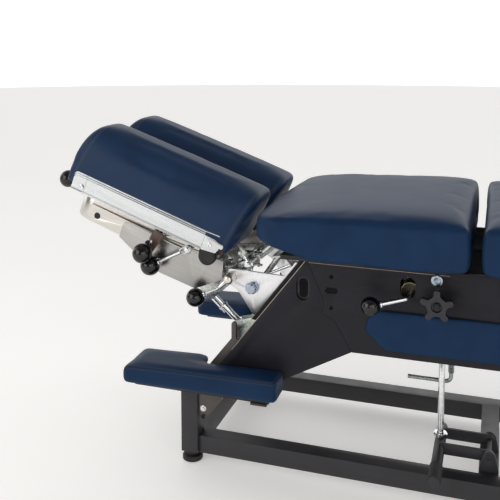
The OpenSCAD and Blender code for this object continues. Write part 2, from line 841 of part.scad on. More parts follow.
// Bearing blocks for the two cocking levers, standing on posts from the rails
module lever_bearings() {
    color("#5d6168") for (x1 = [chest_x1, pelvic_x1]) {
        translate([x1 - lever_back - shaft_l, -lever_pivot_y, lever_z]) rotate([0, 90, 0])
            cylinder(h = 2 * shaft_l, r = shaft_r);
        for (x = [x1 - lever_back - shaft_l / 2 - ear_t, x1 - lever_back + shaft_l / 2])
            box([x, -lever_pivot_y - ear_r, post_z0], [x + ear_t, -lever_pivot_y + ear_r, lever_z + ear_r]);
        box([x1 - lever_back - shaft_l / 2 - ear_t, -plate_in + in_rail_s, post_z0 - cross_h],
            [x1 - lever_back + shaft_l / 2 + ear_t, plate_in - in_rail_s, post_z0]);
    }
}
post_z0 = in_rail_z + cross_h;

// Star knob: five lobes round a hub, with its stud through the side plate
module star_knob(x1) {
    color("#26262a") translate([x1 - star_back, -plate_y - star_gap, star_z]) rotate([90, 0, 0]) {
        difference() {
            union() {
                cylinder(h = star_hub_h, r = star_hub_r);
                translate([0, 0, star_hub_h - star_t]) linear_extrude(star_t)
                    for (i = [0:star_lobes - 1]) rotate(90 + i * 360 / star_lobes) {
                        translate([star_r - star_tip_r, 0]) circle(r = star_tip_r);
                        polygon([[0, -star_root], [star_r - star_tip_r, -star_tip_r],
                            [star_r - star_tip_r, star_tip_r], [0, star_root]]);
                    }
            }
            translate([0, 0, star_hub_h - star_dish]) cylinder(h = star_dish + cut, r = star_dish_r);
        }
        translate([0, 0, star_hub_h - star_dish]) cylinder(h = star_dish, r = stud_r, $fn = 6);
        translate([0, 0, -stud_l]) cylinder(h = stud_l, r = stud_r);
        translate([0, 0, -stud_l]) cylinder(h = stud_nut_h, r = hub_r);
    }
}
star_lobes = 5;
star_r = 32;
star_tip_r = 7;
star_root = 11;
star_hub_r = 13;
star_hub_h = 36;
star_t = 14;
star_gap = seat_gap;
star_dish = 4;
star_dish_r = 9;
stud_nut_h = 4;
drop_spring_l = 32;
stud_l = plate_t + star_gap + drop_spring_l + 2 * seat_gap + stud_nut_h;

// Helical spring as one swept tube
module coil(turns, r, wire, len) {
    rings = turns * coil_rings;
    function ring(i) = [for (k = [0:coil_sides - 1])
        let (a = i * 360 / coil_rings, b = k * 360 / coil_sides, c = r + wire * cos(b))
        [c * cos(a), c * sin(a), wire + i * (len - 2 * wire) / rings + wire * sin(b)]];
    pts = [for (i = [0:rings]) each ring(i)];
    sides = [for (i = [0:rings - 1], k = [0:coil_sides - 1])
        let (a = i * coil_sides + k, b = i * coil_sides + (k + 1) % coil_sides)
        each [[a, b, b + coil_sides], [a, b + coil_sides, a + coil_sides]]];
    last = rings * coil_sides;
    caps = [for (k = [1:coil_sides - 2]) each [[0, k + 1, k], [last, last + k, last + k + 1]]];
    polyhedron(points = pts, faces = concat(sides, caps));
    echo(least_gap = (len - 2 * wire) / turns - 2 * wire);
}
coil_rings = 8;
coil_sides = 6;

// Drop springs, each between the side plate's inner face and a washer on the star knob's stud
module drop_springs() {
    color("#9aa0a8") for (x1 = [chest_x1, pelvic_x1])
        translate([x1 - star_back, -plate_in + seat_gap, star_z]) rotate([-90, 0, 0])
            coil(drop_turns, drop_coil_r, drop_wire, drop_spring_l);
}
drop_turns = 6;
drop_coil_r = 8;
drop_wire = 1.4;

module chest_cushion() {
    section_cushion(chest_x0, chest_x1, chest_corner_r);
}
module chest_board() {
    section_board(chest_x0, chest_x1);
}
module chest_drop_frame() {
    section_frame(chest_x0, chest_x1);
}
module chest_cock_lever() {
    cock_lever(chest_x1);
}
module chest_cock_ball() {
    ball_knob(lever_pts(chest_x1)[2], ball_small_d);
}
module chest_star_knob() {
    star_knob(chest_x1);
}
module pelvic_cushion() {
    section_cushion(pelvic_x0, pelvic_x1, corner_r);
}
module pelvic_board() {
    section_board(pelvic_x0, pelvic_x1);
}
module pelvic_drop_frame() {
    section_frame(pelvic_x0, pelvic_x1);
}
module pelvic_cock_lever() {
    cock_lever(pelvic_x1);
}
module pelvic_cock_ball() {
    ball_knob(lever_pts(pelvic_x1)[2], ball_small_d);
}
module pelvic_star_knob() {
    star_knob(pelvic_x1);
}

// Head section carrier: side plates outside the pan
module head_plates() {
    color("#c4c6ca") at_head() both_sides() {
        difference() {
            xz(-head_plate_y, -head_plate_y + head_plate_t) {
                polygon([
                    [hp_x0 + hp_round, hp_top0],
                    [hp_x0, hp_top0 - hp_round],
                    [hp_x0, hp_low0],
                    [hp_x0 + hp_cham, hp_low1],
                    [hp_bot0, hp_low2],
                    [hp_bot1, hp_low2 + hp_rise],
                    [hp_x1 + hp_round, hp_low3],
                    [hp_x1, hp_top1],
                    [pan_lip_x1, hp_top0]]);
                translate([tens_x, tens_z]) circle(r = tens_ear_r);
                translate([hcock_x, hcock_z]) circle(r = hub_r);
            }
            for (p = [[tens_x, tens_z], [hcock_x, hcock_z]])
                y_bar(p[0], p[1], -head_plate_y - cut, -pan_y, stud_r + run_clear);
        }
        box([hp_x0 + hp_round, -head_plate_y - hp_flange, hp_top0 - hp_flange_t],
            [hp_flange_x1, -head_plate_y + head_plate_t, hp_top0]);
    }
}
hp_x0 = -268;
hp_x1 = -24;
hp_top0 = 20;
hp_top1 = 30;
hp_round = 10;
hp_low0 = -22;
hp_cham = 40;
hp_low1 = -37;
hp_bot0 = -152;
hp_bot1 = -63;
hp_low2 = -57;
hp_low3 = -9;
hp_rise = 3;
hp_flange = 6;
hp_flange_t = 3;
hp_flange_x1 = -122;
tens_x = -58;
tens_z = 31;
tens_ear_r = 10.5;
hcock_x = -106;
hcock_z = 24;

// Channel across the carrier, under the pan
module head_channel() {
    color("#8b9098") at_head() difference() {
        box([ch_x0, -head_plate_y + head_plate_t, ch_z0], [ch_x1, head_plate_y - head_plate_t, ch_z1]);
        box([ch_x0 + ch_t, -head_plate_y, ch_z0 + ch_t], [ch_x1 - ch_t, head_plate_y, ch_z1 + cut]);
    }
}
ch_x0 = -146;
ch_x1 = -78;
ch_z0 = -54;
ch_z1 = -24;
ch_t = 4;

// Zinc block that turns on the pivot shaft, with ears for the strut's upper pin
module hinge_block() {
    color("#8f9aa0") at_head() difference() {
        union() {
            y_bar(0, 0, -hb_y, hb_y, hb_r);
            for (y = hb_arms) xz(y - hb_arm_t, y + hb_arm_t) polygon([
                [ch_x1, ch_z0],
                [0, -hb_r + hb_chord],
                [0, hb_r - hb_chord],
                [ch_x1, ch_z1]]);
            for (y = [clevis_y0, clevis_y1 - clevis_t]) xz(y, y + clevis_t) polygon([
                [ch_x1, ch_z0],
                [lug_x - clevis_r, lug_z - clevis_r],
                [lug_x + clevis_r, lug_z - clevis_r],
                [hb_r - hb_chord, 0],
                [-hb_r, 0]]);
            y_bar(lug_x, lug_z, clevis_y0, clevis_y1, strut_pin_r);
            for (x = [hs_x0 - hs_post, hs_x1]) box([x, hs_y - hs_post, -hb_r + hb_chord],
                [x + hs_post, hs_y + hs_post, hs_z + hs_post]);
            xz(hs_y - hs_post, hs_y + hs_post) polygon([
                [ch_x1, ch_z0],
                [hs_x1 + hs_post, -hb_r + hb_chord],
                [hs_x1 + hs_post, 0],
                [ch_x1, ch_z1]]);
        }
        y_bar(0, 0, -hb_y - cut, hb_y + cut, shaft_head_r + run_clear);
    }
}
hb_y = 121;
hb_r = 15;
hb_chord = 2;
hb_arms = [-40, 40, 104];
hb_arm_t = 7;
lug_x = cos(tilt) * (strut_x1 - pivot_x) - sin(tilt) * (strut_z1 - pivot_z);
lug_z = sin(tilt) * (strut_x1 - pivot_x) + cos(tilt) * (strut_z1 - pivot_z);
hs_x0 = -36;
hs_x1 = 12;
hs_y = -72;
hs_z = 24;
hs_post = 7;

module head_spring() {
    color("#6f747c") at_head() translate([hs_x0 + seat_gap, hs_y, hs_z]) rotate([0, 90, 0])
        coil(head_turns, head_coil_r, head_wire, hs_x1 - hs_x0 - 2 * seat_gap);
}
head_turns = 9;
head_coil_r = 5.2;
head_wire = 1.5;

// Head pan: a band of sheet steel bent round the head end, open at the chest end
module head_pan() {
    color("#cdcbc6") at_head() difference() {
        union() {
            translate([0, 0, pan_z0]) linear_extrude(pan_z1 - pan_z0) difference() {
                pan_plan(0);
                pan_plan(pan_t);
            }
            translate([0, 0, pan_z1 - pan_t]) linear_extrude(pan_t) pan_plan(0);
            both_sides() box([pan_x0 + pan_r, -pan_y - pan_lip, pan_lip_z],
                [pan_lip_x1, -pan_y + pan_t, pan_lip_z + pan_t]);
            box([pan_x0 + pan_t, plunger_y - guide_w / 2, plunger_z - guide_w / 2],
                [pan_x0 + pan_t + guide_w, plunger_y + guide_w / 2, pan_z1 - pan_t]);
        }
        y_bar(pan_hole_x, pan_hole_z, -pan_y - cut, pan_y + cut, pan_hole_r);
        translate([pan_x0 - cut, plunger_y, plunger_z]) rotate([0, 90, 0])
            cylinder(h = pan_t + guide_w + 2 * cut, r = plunger_r + run_clear);
        y_bar(clev_x, clev_z, -pan_y - cut, -pan_y + pan_t + cut, stud_r + run_clear);
    }
}
guide_w = 20;
pan_lip = 9;
pan_lip_z = hp_top0 + seat_gap;
pan_lip_x1 = -196;

// Plan of the pan, drawn in by its wall for the inner face
module pan_plan(in) {
    over = in > 0 ? cut : 0;
    for (y = [-pan_y + pan_r, pan_y - pan_r]) translate([pan_x0 + pan_r, y]) circle(r = pan_r - in);
    translate([pan_x0 + in, -pan_y + pan_r]) square([pan_r, 2 * (pan_y - pan_r)]);
    translate([pan_x0 + pan_r, -pan_y + in]) square([pan_x1 - pan_x0 - pan_r + over, 2 * (pan_y - in)]);
}
pan_set = 22;
pan_x0 = roll_x1 - roll_len + pan_set;
pan_x1 = -84;
pan_z0 = -20;
pan_z1 = 42;
pan_r = 44;
pan_hole_set = 61;
pan_hole_x = pan_x0 + pan_hole_set;
pan_hole_z = -2;
pan_hole_r = 7.5;
plunger_r = 5;

module head_board() {
    color("#33261f") at_head() box([roll_x1 - roll_len + board_start, -board_head_y, board_head_z],
        [roll_x1 - board_end, board_head_y, board_head_z + board_head_t]);
}
board_start = 25;
board_end = 14;

// Half-round cushion: slices of a domed profile, drawn in towards both ends
module roll_slice(w, h) {
    rotate([90, 0, 90]) linear_extrude(slice) polygon([for (a = [0:roll_step:180])
        [w / 2 * sign(cos(a)) * pow(abs(cos(a)), 0.62), h * pow(sin(a), 0.72)]]);
}
roll_step = 9;
roll_end_shares = [[0, 0.88, 0.89], [0.01, 0.95, 0.955], [0.03, 0.985, 0.988], [0.07, 1, 1],
    [0.93, 1, 1], [0.97, 0.985, 0.988], [0.99, 0.95, 0.955], [1, 0.88, 0.89]];

module head_roll(side) {
    color("#2b3a58") at_head() translate([0, side * (face_gap + roll_w) / 2, roll_z]) hull()
        for (e = roll_end_shares) translate([roll_x1 - roll_len + e[0] * (roll_len - slice), 0, 0])
            rotate([0, roll_lean, 0]) roll_slice(roll_w * e[1], roll_h * e[2]);
}

module head_cushion_near() {
    head_roll(-1);
}
module head_cushion_far() {
    head_roll(1);
}

// Clamp bars along the outer sides of the head cushions, and the ears that hold them
module clamp_ears() {
    color("#d2d4d8") at_head() both_sides() {
        for (x = [bar_x0 - ear_w - ear_play, bar_x1 + ear_play]) {
            box([x, -strip_y, strip_z0], [x + ear_w, -strip_y + strip_t, strip_z1]);
            box([x, -strip_y + strip_t, ear_leg_z], [x + ear_w, -board_head_y, ear_leg_z + strip_t]);
            translate([x + ear_w / 2, -strip_y, strip_pin_z + bead_r + screw_r]) rotate([90, 0, 0])
                cylinder(h = strip_t, r = screw_r);
        }
        translate([bar_x1 + ear_play + ear_w, -strip_y, strip_z0 + strip_t]) cube([nub_w, strip_t, nub_h]);
        translate([bar_x0 - ear_play - strip_t, -strip_y + strip_t / 2, strip_pin_z]) rotate([0, 90, 0])
            cylinder(h = bar_x1 - bar_x0 + 2 * ear_play + 2 * strip_t, r = strip_pin_r);
    }
}
ear_w = 32;
ear_play = 0.6;
ear_leg_z = 52;
bar_set = 51;
bar_x0 = roll_x1 - roll_len + bar_set;
bar_x1 = -72;
strip_t = 3;
strip_z0 = 46;
strip_z1 = 86;
strip_pin_z = 50;
strip_pin_r = 1.2;
screw_r = 4.5;
nub_w = 7;
nub_h = 12;

module clamp_bar() {
    difference() {
        union() {
            box([bar_x0, -strip_y, strip_z0], [bar_x1, -strip_y + strip_t, strip_z1]);
            translate([bar_x0, -strip_y + strip_t / 2, strip_z1 + bead_r]) rotate([0, 90, 0])
                cylinder(h = bar_x1 - bar_x0, r = bead_r);
            translate([bar_x0, -strip_y + strip_t / 2, strip_pin_z]) rotate([0, 90, 0])
                cylinder(h = bar_x1 - bar_x0, r = bead_r);
        }
        translate([bar_x0 - cut, -strip_y + strip_t / 2, strip_pin_z]) rotate([0, 90, 0])
            cylinder(h = bar_x1 - bar_x0 + 2 * cut, r = strip_pin_r + run_clear);
    }
}
bead_r = 2.6;

module clamp_bar_near() {
    color("#d9dbdf") at_head() clamp_bar();
}
module clamp_bar_far() {
    color("#d9dbdf") at_head() mirror([0, 1, 0]) clamp_bar();
}

// Clamp lever: flat strap that hangs from a stud in the pan's side wall, with a nut and its ball
module clamp_lever() {
    color("#4a3a32") at_head() {
        xz(-clev_out, -clev_out + clev_t) {
            translate([clev_x, clev_z]) circle(d = clev_w);
            translate([clev_low_x, clev_low_z]) circle(d = clev_w);
            polygon([
                [clev_x - clev_w / 2, clev_z],
                [clev_x + clev_w / 2, clev_z],
                [clev_low_x + clev_w / 2, clev_low_z],
                [clev_low_x - clev_w / 2, clev_low_z]]);
        }
        y_bar(clev_x, clev_z, -clev_out + clev_t, -pan_y - seat_gap, clev_w / 2 - clev_t / 2);
        y_bar(clev_x, clev_z, -pan_y - seat_gap, -pan_y + pan_t, stud_r);
        translate([clev_low_x, -clev_out, clev_low_z]) rotate([90, 0, 0])
            cylinder(h = clev_nut, r = clev_w / 2 - clev_t / 2, $fn = 6);
    }
}
clev_x = -174;
clev_z = 31;
clev_t = 5;
clev_w = 18;
clev_out = 170;
clev_low_x = -185;
clev_low_z = -8;
clev_nut = 7;

module clamp_lever_ball() {
    color("#0c0c0d") at_head() translate([clev_low_x, -clev_out - clev_nut - ball_d / 2, clev_low_z])
        sphere(d = ball_d);
}

// Head cocking lever on its stud through the side plate
hcock_set = 4;
hcock_y = -head_plate_y - lever_r - hcock_set;
hcock_ball = [-169, -170, -41];

module head_cock_lever() {
    color("#dcdfe4") at_head() difference() {
        union() {
            y_bar(hcock_x, hcock_z, hcock_y - lever_r, -head_plate_y - seat_gap, hub_r);
            y_bar(hcock_x, hcock_z, hcock_y - lever_r, -head_plate_y + head_plate_t, stud_r);
            bar([hcock_x, hcock_y, hcock_z], hcock_ball, lever_r);
        }
        translate(hcock_ball) sphere(r = ball_d / 2 + seat_gap);
    }
}

module head_cock_ball() {
    at_head() ball_knob(hcock_ball, ball_d);
}

// Flat round tension knob with a coin edge
module head_tension_knob() {
    color("#1a1a1c") at_head() {
        y_bar(tens_x, tens_z, -head_plate_y - tens_gap - tens_t, -head_plate_y - tens_gap, tens_r);
        y_bar(tens_x, tens_z, -head_plate_y - tens_gap, -head_plate_y - seat_gap, tens_hub_r);
        y_bar(tens_x, tens_z, -head_plate_y - seat_gap, -head_plate_y + head_plate_t + tens_gap / 2, stud_r);
    }
}
tens_gap = 5;
tens_t = 13;
tens_r = 19.5;
tens_hub_r = 8;

// Tilt-lock lever on the end of the pivot shaft
tlock_pts = [[0, -154, 0], [-14, -158, -28], [-50, -168, -62]];

module tilt_lock_lever() {
    color("#dcdfe4") at_head() difference() {
        union() {
            y_bar(0, 0, -tlock_y1, -bracket_y - seat_gap, tlock_hub_r);
            bent_rod(tlock_pts, lever_r);
            y_bar(0, 0, -tlock_y1 - tlock_cap, -tlock_y1, tlock_cap_r);
        }
        y_bar(0, 0, -bracket_y - shaft_out - seat_gap, -bracket_y, shaft_head_r + run_clear);
        translate(tlock_pts[2]) sphere(r = ball_d / 2 + seat_gap);
    }
}
tlock_y1 = 157;
tlock_hub_r = 11;
tlock_cap = 4;
tlock_cap_r = 7;

module tilt_lock_ball() {
    at_head() ball_knob(tlock_pts[2], ball_d);
}

// Pull plunger at the head end
module end_plunger() {
    color("#dcdfe4") at_head() translate([-plunger_x + ball_d / 2 + seat_gap, plunger_y, plunger_z])
        rotate([0, 90, 0]) cylinder(h = plunger_l, r = plunger_r);
}
plunger_y = -88;
plunger_l = 84;

module end_plunger_ball() {
    at_head() ball_knob([-plunger_x, plunger_y, plunger_z], ball_d);
}

// Vertical push rod, resting on the pedal's bar
module push_rod() {
    color("#d9dce1") translate([rod_x, rod_y, rod_z0]) {
        cylinder(h = rod_z1 - rod_z0, r = rod_r);
        cylinder(h = rod_foot_h, r = rod_foot_r);
    }
}

module foot_pedal() {
    color("#2c2c30") {
        y_bar(rod_x, pedal_z, pedal_y0, pedal_y1, pedal_r);
        for (y = pedal_arms) xz(y, y + ear_t) hull() {
            translate([rod_x, pedal_z]) circle(r = pedal_r, $fn = hull_fn);
            translate([pedal_x, pedal_z]) circle(r = pedal_r, $fn = hull_fn);
        }
        y_bar(pedal_x, pedal_z, pedal_ears[0], pedal_ears[1] + ear_t, hinge_r);
    }
}
pedal_arms = [pedal_ears[0] + ear_t + ear_gap, pedal_ears[1] - ear_t - ear_gap];

module lock_handle() {
    color("#c3cbd2") {
        translate([handle_x, handle_y, handle_z])
            cylinder(h = in_rail_z + cross_h + seat_gap - handle_z, r = handle_post_r);
        translate([handle_x, handle_y, in_rail_z + cross_h + seat_gap]) cylinder(h = stud_nut_h, r = hub_r);
        translate([handle_x, handle_y, handle_z]) sphere(r = handle_post_r);
        bar([handle_x, handle_y, handle_z], [handle_x - handle_reach, handle_y, handle_z], handle_r);
    }
}

side_plates();
nose_plates();
frame_rails();
nose_web();
nose_face_plate();
leg_braces();
front_legs();
rear_legs();
floor_frame();
levelling_feet();
side_panels();
armrest_pads();
armrest_boards();
armrest_brackets();
slot_liners();
pivot_bracket();
pivot_shaft();
frame_bolts();
strut_clevis();
leg_cushion();
leg_board();
lever_bearings();
drop_springs();
head_plates();
head_channel();
hinge_block();
head_spring();
head_pan();
head_board();
head_cushion_near();
head_cushion_far();
clamp_ears();
clamp_bar_near();
clamp_bar_far();
clamp_lever();
clamp_lever_ball();
head_cock_lever();
head_cock_ball();
head_tension_knob();
tilt_lock_lever();
tilt_lock_ball();
end_plunger();
end_plunger_ball();
strut_tube();
strut_rod();
chest_cushion();
chest_board();
chest_drop_frame();
chest_cock_lever();
chest_cock_ball();
chest_star_knob();
pelvic_cushion();
pelvic_board();
pelvic_drop_frame();
pelvic_cock_lever();
pelvic_cock_ball();
pelvic_star_knob();
push_rod();
foot_pedal();
lock_handle();
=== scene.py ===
import functools
import math

import bmesh
import bpy
from mathutils import Matrix, Vector
from mathutils.kdtree import KDTree


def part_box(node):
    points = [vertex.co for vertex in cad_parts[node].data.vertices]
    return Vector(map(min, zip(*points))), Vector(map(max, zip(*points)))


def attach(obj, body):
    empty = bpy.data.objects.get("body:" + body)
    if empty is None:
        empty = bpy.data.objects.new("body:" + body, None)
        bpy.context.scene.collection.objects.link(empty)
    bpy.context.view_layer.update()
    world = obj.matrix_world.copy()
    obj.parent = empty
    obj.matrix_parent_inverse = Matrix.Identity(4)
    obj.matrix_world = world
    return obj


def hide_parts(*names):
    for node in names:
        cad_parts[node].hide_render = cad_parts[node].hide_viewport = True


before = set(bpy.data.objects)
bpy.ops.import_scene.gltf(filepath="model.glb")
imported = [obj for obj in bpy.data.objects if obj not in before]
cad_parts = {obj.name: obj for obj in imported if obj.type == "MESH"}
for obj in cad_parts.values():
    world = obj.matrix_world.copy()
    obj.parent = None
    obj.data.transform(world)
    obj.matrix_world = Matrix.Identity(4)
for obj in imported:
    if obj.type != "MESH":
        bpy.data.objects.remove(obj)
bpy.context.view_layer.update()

bl_info = {
    "name": "Chiropractic table",
    "version": (1, 0, 0),
    "blender": (4, 5, 0),
    "location": "View3D > Sidebar > Table",
    "description": "Upholsters and finishes the table, piece by piece, on its packed frame",
    "category": "Object",
}

# The head section's own frame: its tilt pivot and its rest tilt
PIVOT = Vector((-0.47893, 0.0, 0.397))
HEAD_TILT = math.radians(20)
HEAD = Matrix.Translation(PIVOT) @ Matrix.Rotation(HEAD_TILT, 4, "Y")

HERE = Matrix.Identity(4)
MIRRORED = Matrix.Diagonal((1, -1, 1, 1))
QUARTER = math.pi / 2
SIDES = ((-1, "near"), (1, "far"))

# Deck: its height, its half width, the plates' outer face, and the foot end of each cushion that drops
DECK = 0.480
HALF_DECK = 0.26
PLATE = 0.193
CHEST_END = 0.01907
PELVIC_END = 0.45507
DROPS = ((CHEST_END, "chest"), (PELVIC_END, "pelvic"))

# A drop section's cocking lever, with X from its cushion's foot end: shaft, knee and ball
COCK_X, COCK_Z = -0.113, 0.416
COCK_KNEE = (COCK_X, -0.209, COCK_Z)
COCK_BALL = (-0.18, -0.2445, 0.405)
# Star knob and its stud
STAR_X, STAR_Z = -0.06, 0.411

# The head section's levers in its own frame
HEAD_COCK_STUD, HEAD_COCK_BALL = (-0.106, -0.1555, 0.024), (-0.169, -0.170, -0.041)
TILT_KNEE, TILT_BALL = (-0.0135, -0.158, -0.027), (-0.050, -0.168, -0.062)
CLAMP_BALL = (-0.186, -0.196, -0.0115)
PLUNGER_Y, PLUNGER_Z = -0.088, 0.027


def srgb(hex_code):
    """Linear colour of an sRGB hex value."""
    parts = [int(hex_code[i:i + 2], 16) / 255 for i in (1, 3, 5)]
    return tuple(c / 12.92 if c <= 0.04045 else ((c + 0.055) / 1.055) ** 2.4 for c in parts) + (1.0,)


# Settings


class TableUpholstery(bpy.types.PropertyGroup):
    vinyl: bpy.props.FloatVectorProperty(
        name="Vinyl", description="Colour of the upholstery vinyl", subtype="COLOR", size=4,
        default=srgb("#162f4e"), min=0, max=1)
    deck_voxel: bpy.props.FloatProperty(
        name="Deck mesh", description="Mesh size of the deck cushions while they are stuffed",
        default=0.006, min=0.005, max=0.02, unit="LENGTH")
    head_voxel: bpy.props.FloatProperty(
        name="Head mesh", description="Mesh size of the head rolls and armrests while they are stuffed",
        default=0.005, min=0.004, max=0.02, unit="LENGTH")
    pressure: bpy.props.FloatProperty(
        name="Stuffing", description="Pressure that fills the cushions", default=4.0, min=0, max=20)
    swell: bpy.props.FloatProperty(
        name="Swell", description="Furthest that a point of a cushion may move while it fills",
        default=0.003, min=0, max=0.02, unit="LENGTH")


class TableHardware(bpy.types.PropertyGroup):
    paint: bpy.props.FloatVectorProperty(
        name="Paint", description="Colour of the powder coat on the plates and the frame",
        subtype="COLOR", size=4, default=srgb("#1e1d24"), min=0, max=1)
    ball: bpy.props.FloatProperty(
        name="Ball knobs", description="Diameter of the ball knobs on the head section",
        default=0.043, min=0.03, max=0.048, unit="LENGTH")
    small_ball: bpy.props.FloatProperty(
        name="Small ball knobs", description="Diameter of the ball knobs on the cocking levers",
        default=0.0365, min=0.028, max=0.04, unit="LENGTH")
    star: bpy.props.FloatProperty(
        name="Star knobs", description="Reach of a star knob's lobes from its middle",
        default=0.032, min=0.025, max=0.04, unit="LENGTH")


class TableStudio(bpy.types.PropertyGroup):
    floor: bpy.props.FloatVectorProperty(
        name="Floor", description="Colour of the studio floor", subtype="COLOR", size=4,
        default=srgb("#fbfaf8"), min=0, max=1)
    sky: bpy.props.FloatProperty(
        name="Surround", description="Brightness of the pale studio round the table",
        default=1.5, min=0, max=5)
    softbox: bpy.props.FloatProperty(
        name="Softbox", description="Power that the studio's lamps share out, in watts",
        default=20.0, min=0, max=500)


# Modelling helpers


def fresh():
    """Leaves edit mode with nothing selected."""
    if bpy.context.object and bpy.context.object.mode != "OBJECT":
        bpy.ops.object.mode_set(mode="OBJECT")
    bpy.ops.object.select_all(action="DESELECT")


def only(obj):
    """Makes one object the selected and active one."""
    fresh()
    obj.select_set(True)
    bpy.context.view_layer.objects.active = obj


def edited(obj):
    """Enters edit mode on one object with everything in it selected."""
    only(obj)
    bpy.ops.object.mode_set(mode="EDIT")
    bpy.ops.mesh.select_all(action="SELECT")


def outwards():
    """Turns the faces of the mesh in edit mode outwards and leaves edit mode."""
    bpy.ops.mesh.select_all(action="SELECT")
    bpy.ops.mesh.normals_make_consistent(inside=False)
    bpy.ops.object.mode_set(mode="OBJECT")


def modified(obj, kind, **settings):
    """Adds a modifier with its settings and applies it."""
    only(obj)
    modifier = obj.modifiers.new(kind.title(), kind)
    for name, value in settings.items():
        setattr(modifier, name, value)
    bpy.ops.object.modifier_apply(modifier=modifier.name)
    return obj


def circle_of(name, points, filled):
    """A circle primitive whose points are pulled to their places."""
    fresh()
    bpy.ops.mesh.primitive_circle_add(vertices=len(points), fill_type="NGON" if filled else "NOTHING")
    obj = bpy.context.object
    obj.name = name
    for vertex, point in zip(obj.data.vertices, points):
        vertex.co = point
    return obj


def drawn(name, rings):
    """A closed body: the first ring is filled, then extruded from ring to ring."""
    obj = circle_of(name, rings[0], True)
    edited(obj)
    for last, ring in zip(rings, rings[1:]):
        bpy.ops.mesh.extrude_region_move()
        mesh = bmesh.from_edit_mesh(obj.data)
        spots = KDTree(len(last))
        for i, point in enumerate(last):
            spots.insert(point, i)
        spots.balance()
        for vertex in [v for v in mesh.verts if v.select]:
            vertex.co = ring[spots.find(vertex.co)[1]]
        bmesh.update_edit_mesh(obj.data)
    outwards()
    return obj


def turned(name, profile, steps=32):
    """A profile of (radius, height) pairs, spun about Z."""
    obj = circle_of(name, [(r, 0, z) for r, z in profile], False)
    edited(obj)
    bpy.ops.mesh.spin(steps=steps, angle=math.tau, center=(0, 0, 0), axis=(0, 0, 1))
    bpy.ops.mesh.select_all(action="SELECT")
    bpy.ops.mesh.remove_doubles(threshold=1e-6)
    bpy.ops.mesh.delete_loose(use_faces=False)
    outwards()
    return obj


def wire(name, points, radius, roundness=4):
    """A round wire or rod along a list of points."""
    if len(points) == 2:
        points = [points[0], (Vector(points[0]) + Vector(points[1])) / 2, points[1]]
    obj = circle_of(name, points, False)
    # The circle's edge between its last and its first point is opened
    bpy.ops.object.mode_set(mode="EDIT")
    bpy.ops.mesh.select_all(action="DESELECT")
    mesh = bmesh.from_edit_mesh(obj.data)
    mesh.verts.ensure_lookup_table()
    for edge in mesh.verts[0].link_edges:
        edge.select = edge.other_vert(mesh.verts[0]).index == len(points) - 1
    bpy.ops.mesh.delete(type="EDGE")
    bpy.ops.object.mode_set(mode="OBJECT")
    bpy.ops.object.convert(target="CURVE")
    curve = bpy.context.object.data
    curve.bevel_depth = radius
    curve.bevel_resolution = roundness
    curve.use_fill_caps = True
    bpy.ops.object.convert(target="MESH")
    obj = bpy.context.object
    edited(obj)
    bpy.ops.mesh.remove_doubles(threshold=1e-6)
    outwards()
    return obj


def joined(name, objs):
    """Several objects as one piece."""
    only(objs[0])
    for obj in objs[1:]:
        obj.select_set(True)
    bpy.ops.object.join()
    bpy.context.object.name = name
    return bpy.context.object


def copy_of(obj, name):
    """A copy with its own mesh."""
    twin = obj.copy()
    twin.data = obj.data.copy()
    twin.name = name
    bpy.context.scene.collection.objects.link(twin)
    return twin


def settle(obj, body, material, node=None, place=HERE, smooth=40):
    """Fixes a finished piece: its place in its mesh, its shading, its finish, its body and its node.

    smooth: the angle in degrees up to which edges are shaded smooth; None shades them all.
    """
    only(obj)
    obj.matrix_world = place @ obj.matrix_world
    bpy.ops.object.transform_apply(location=True, rotation=True, scale=True)
    if place.determinant() < 0:
        edited(obj)
        outwards()
    if smooth is None:
        bpy.ops.object.shade_smooth()
    else:
        bpy.ops.object.shade_smooth_by_angle(angle=math.radians(smooth))
    obj.data.materials.clear()
    obj.data.materials.append(material)
    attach(obj, body)
    if node:
        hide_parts(node)
    return obj


def along(start, towards):
    """Places a piece modelled on Z at a point, with its Z towards another."""
    start, towards = Vector(start), Vector(towards)
    turn = (towards - start).to_track_quat("Z", "Y").to_matrix().to_4x4()
    return Matrix.Translation(start) @ turn


def facing(x, y, z, frame_of=HERE):
    """Places a piece modelled on Z on a side face, its Z outwards."""
    turn = Matrix.Rotation(math.copysign(QUARTER, -y), 4, "X")
    return frame_of @ Matrix.Translation((x, y, z)) @ turn


def lengthwise(x, y, z, frame_of=HERE):
    """Places a piece modelled on Z at a point, with its Z along X."""
    return frame_of @ Matrix.Translation((x, y, z)) @ Matrix.Rotation(QUARTER, 4, "Y")


def arc_path(points, radius, steps=8):
    """A path through corner points, with its corners rounded."""
    points = [Vector(p) for p in points]
    path = [points[0]]
    for before, corner, after in zip(points, points[1:], points[2:]):
        a = (before - corner).normalized()
        b = (after - corner).normalized()
        half = math.acos(max(-1, min(1, a.dot(b)))) / 2
        reach = min(radius / math.tan(half), 0.45 * (before - corner).length, 0.45 * (after - corner).length)
        centre = corner + (a + b).normalized() * reach / math.cos(half)
        start, end = corner + a * reach - centre, corner + b * reach - centre
        for i in range(steps + 1):
            path.append(centre + start.slerp(end, i / steps) * start.length)
    path.append(points[-1])
    return [tuple(p) for p in path]


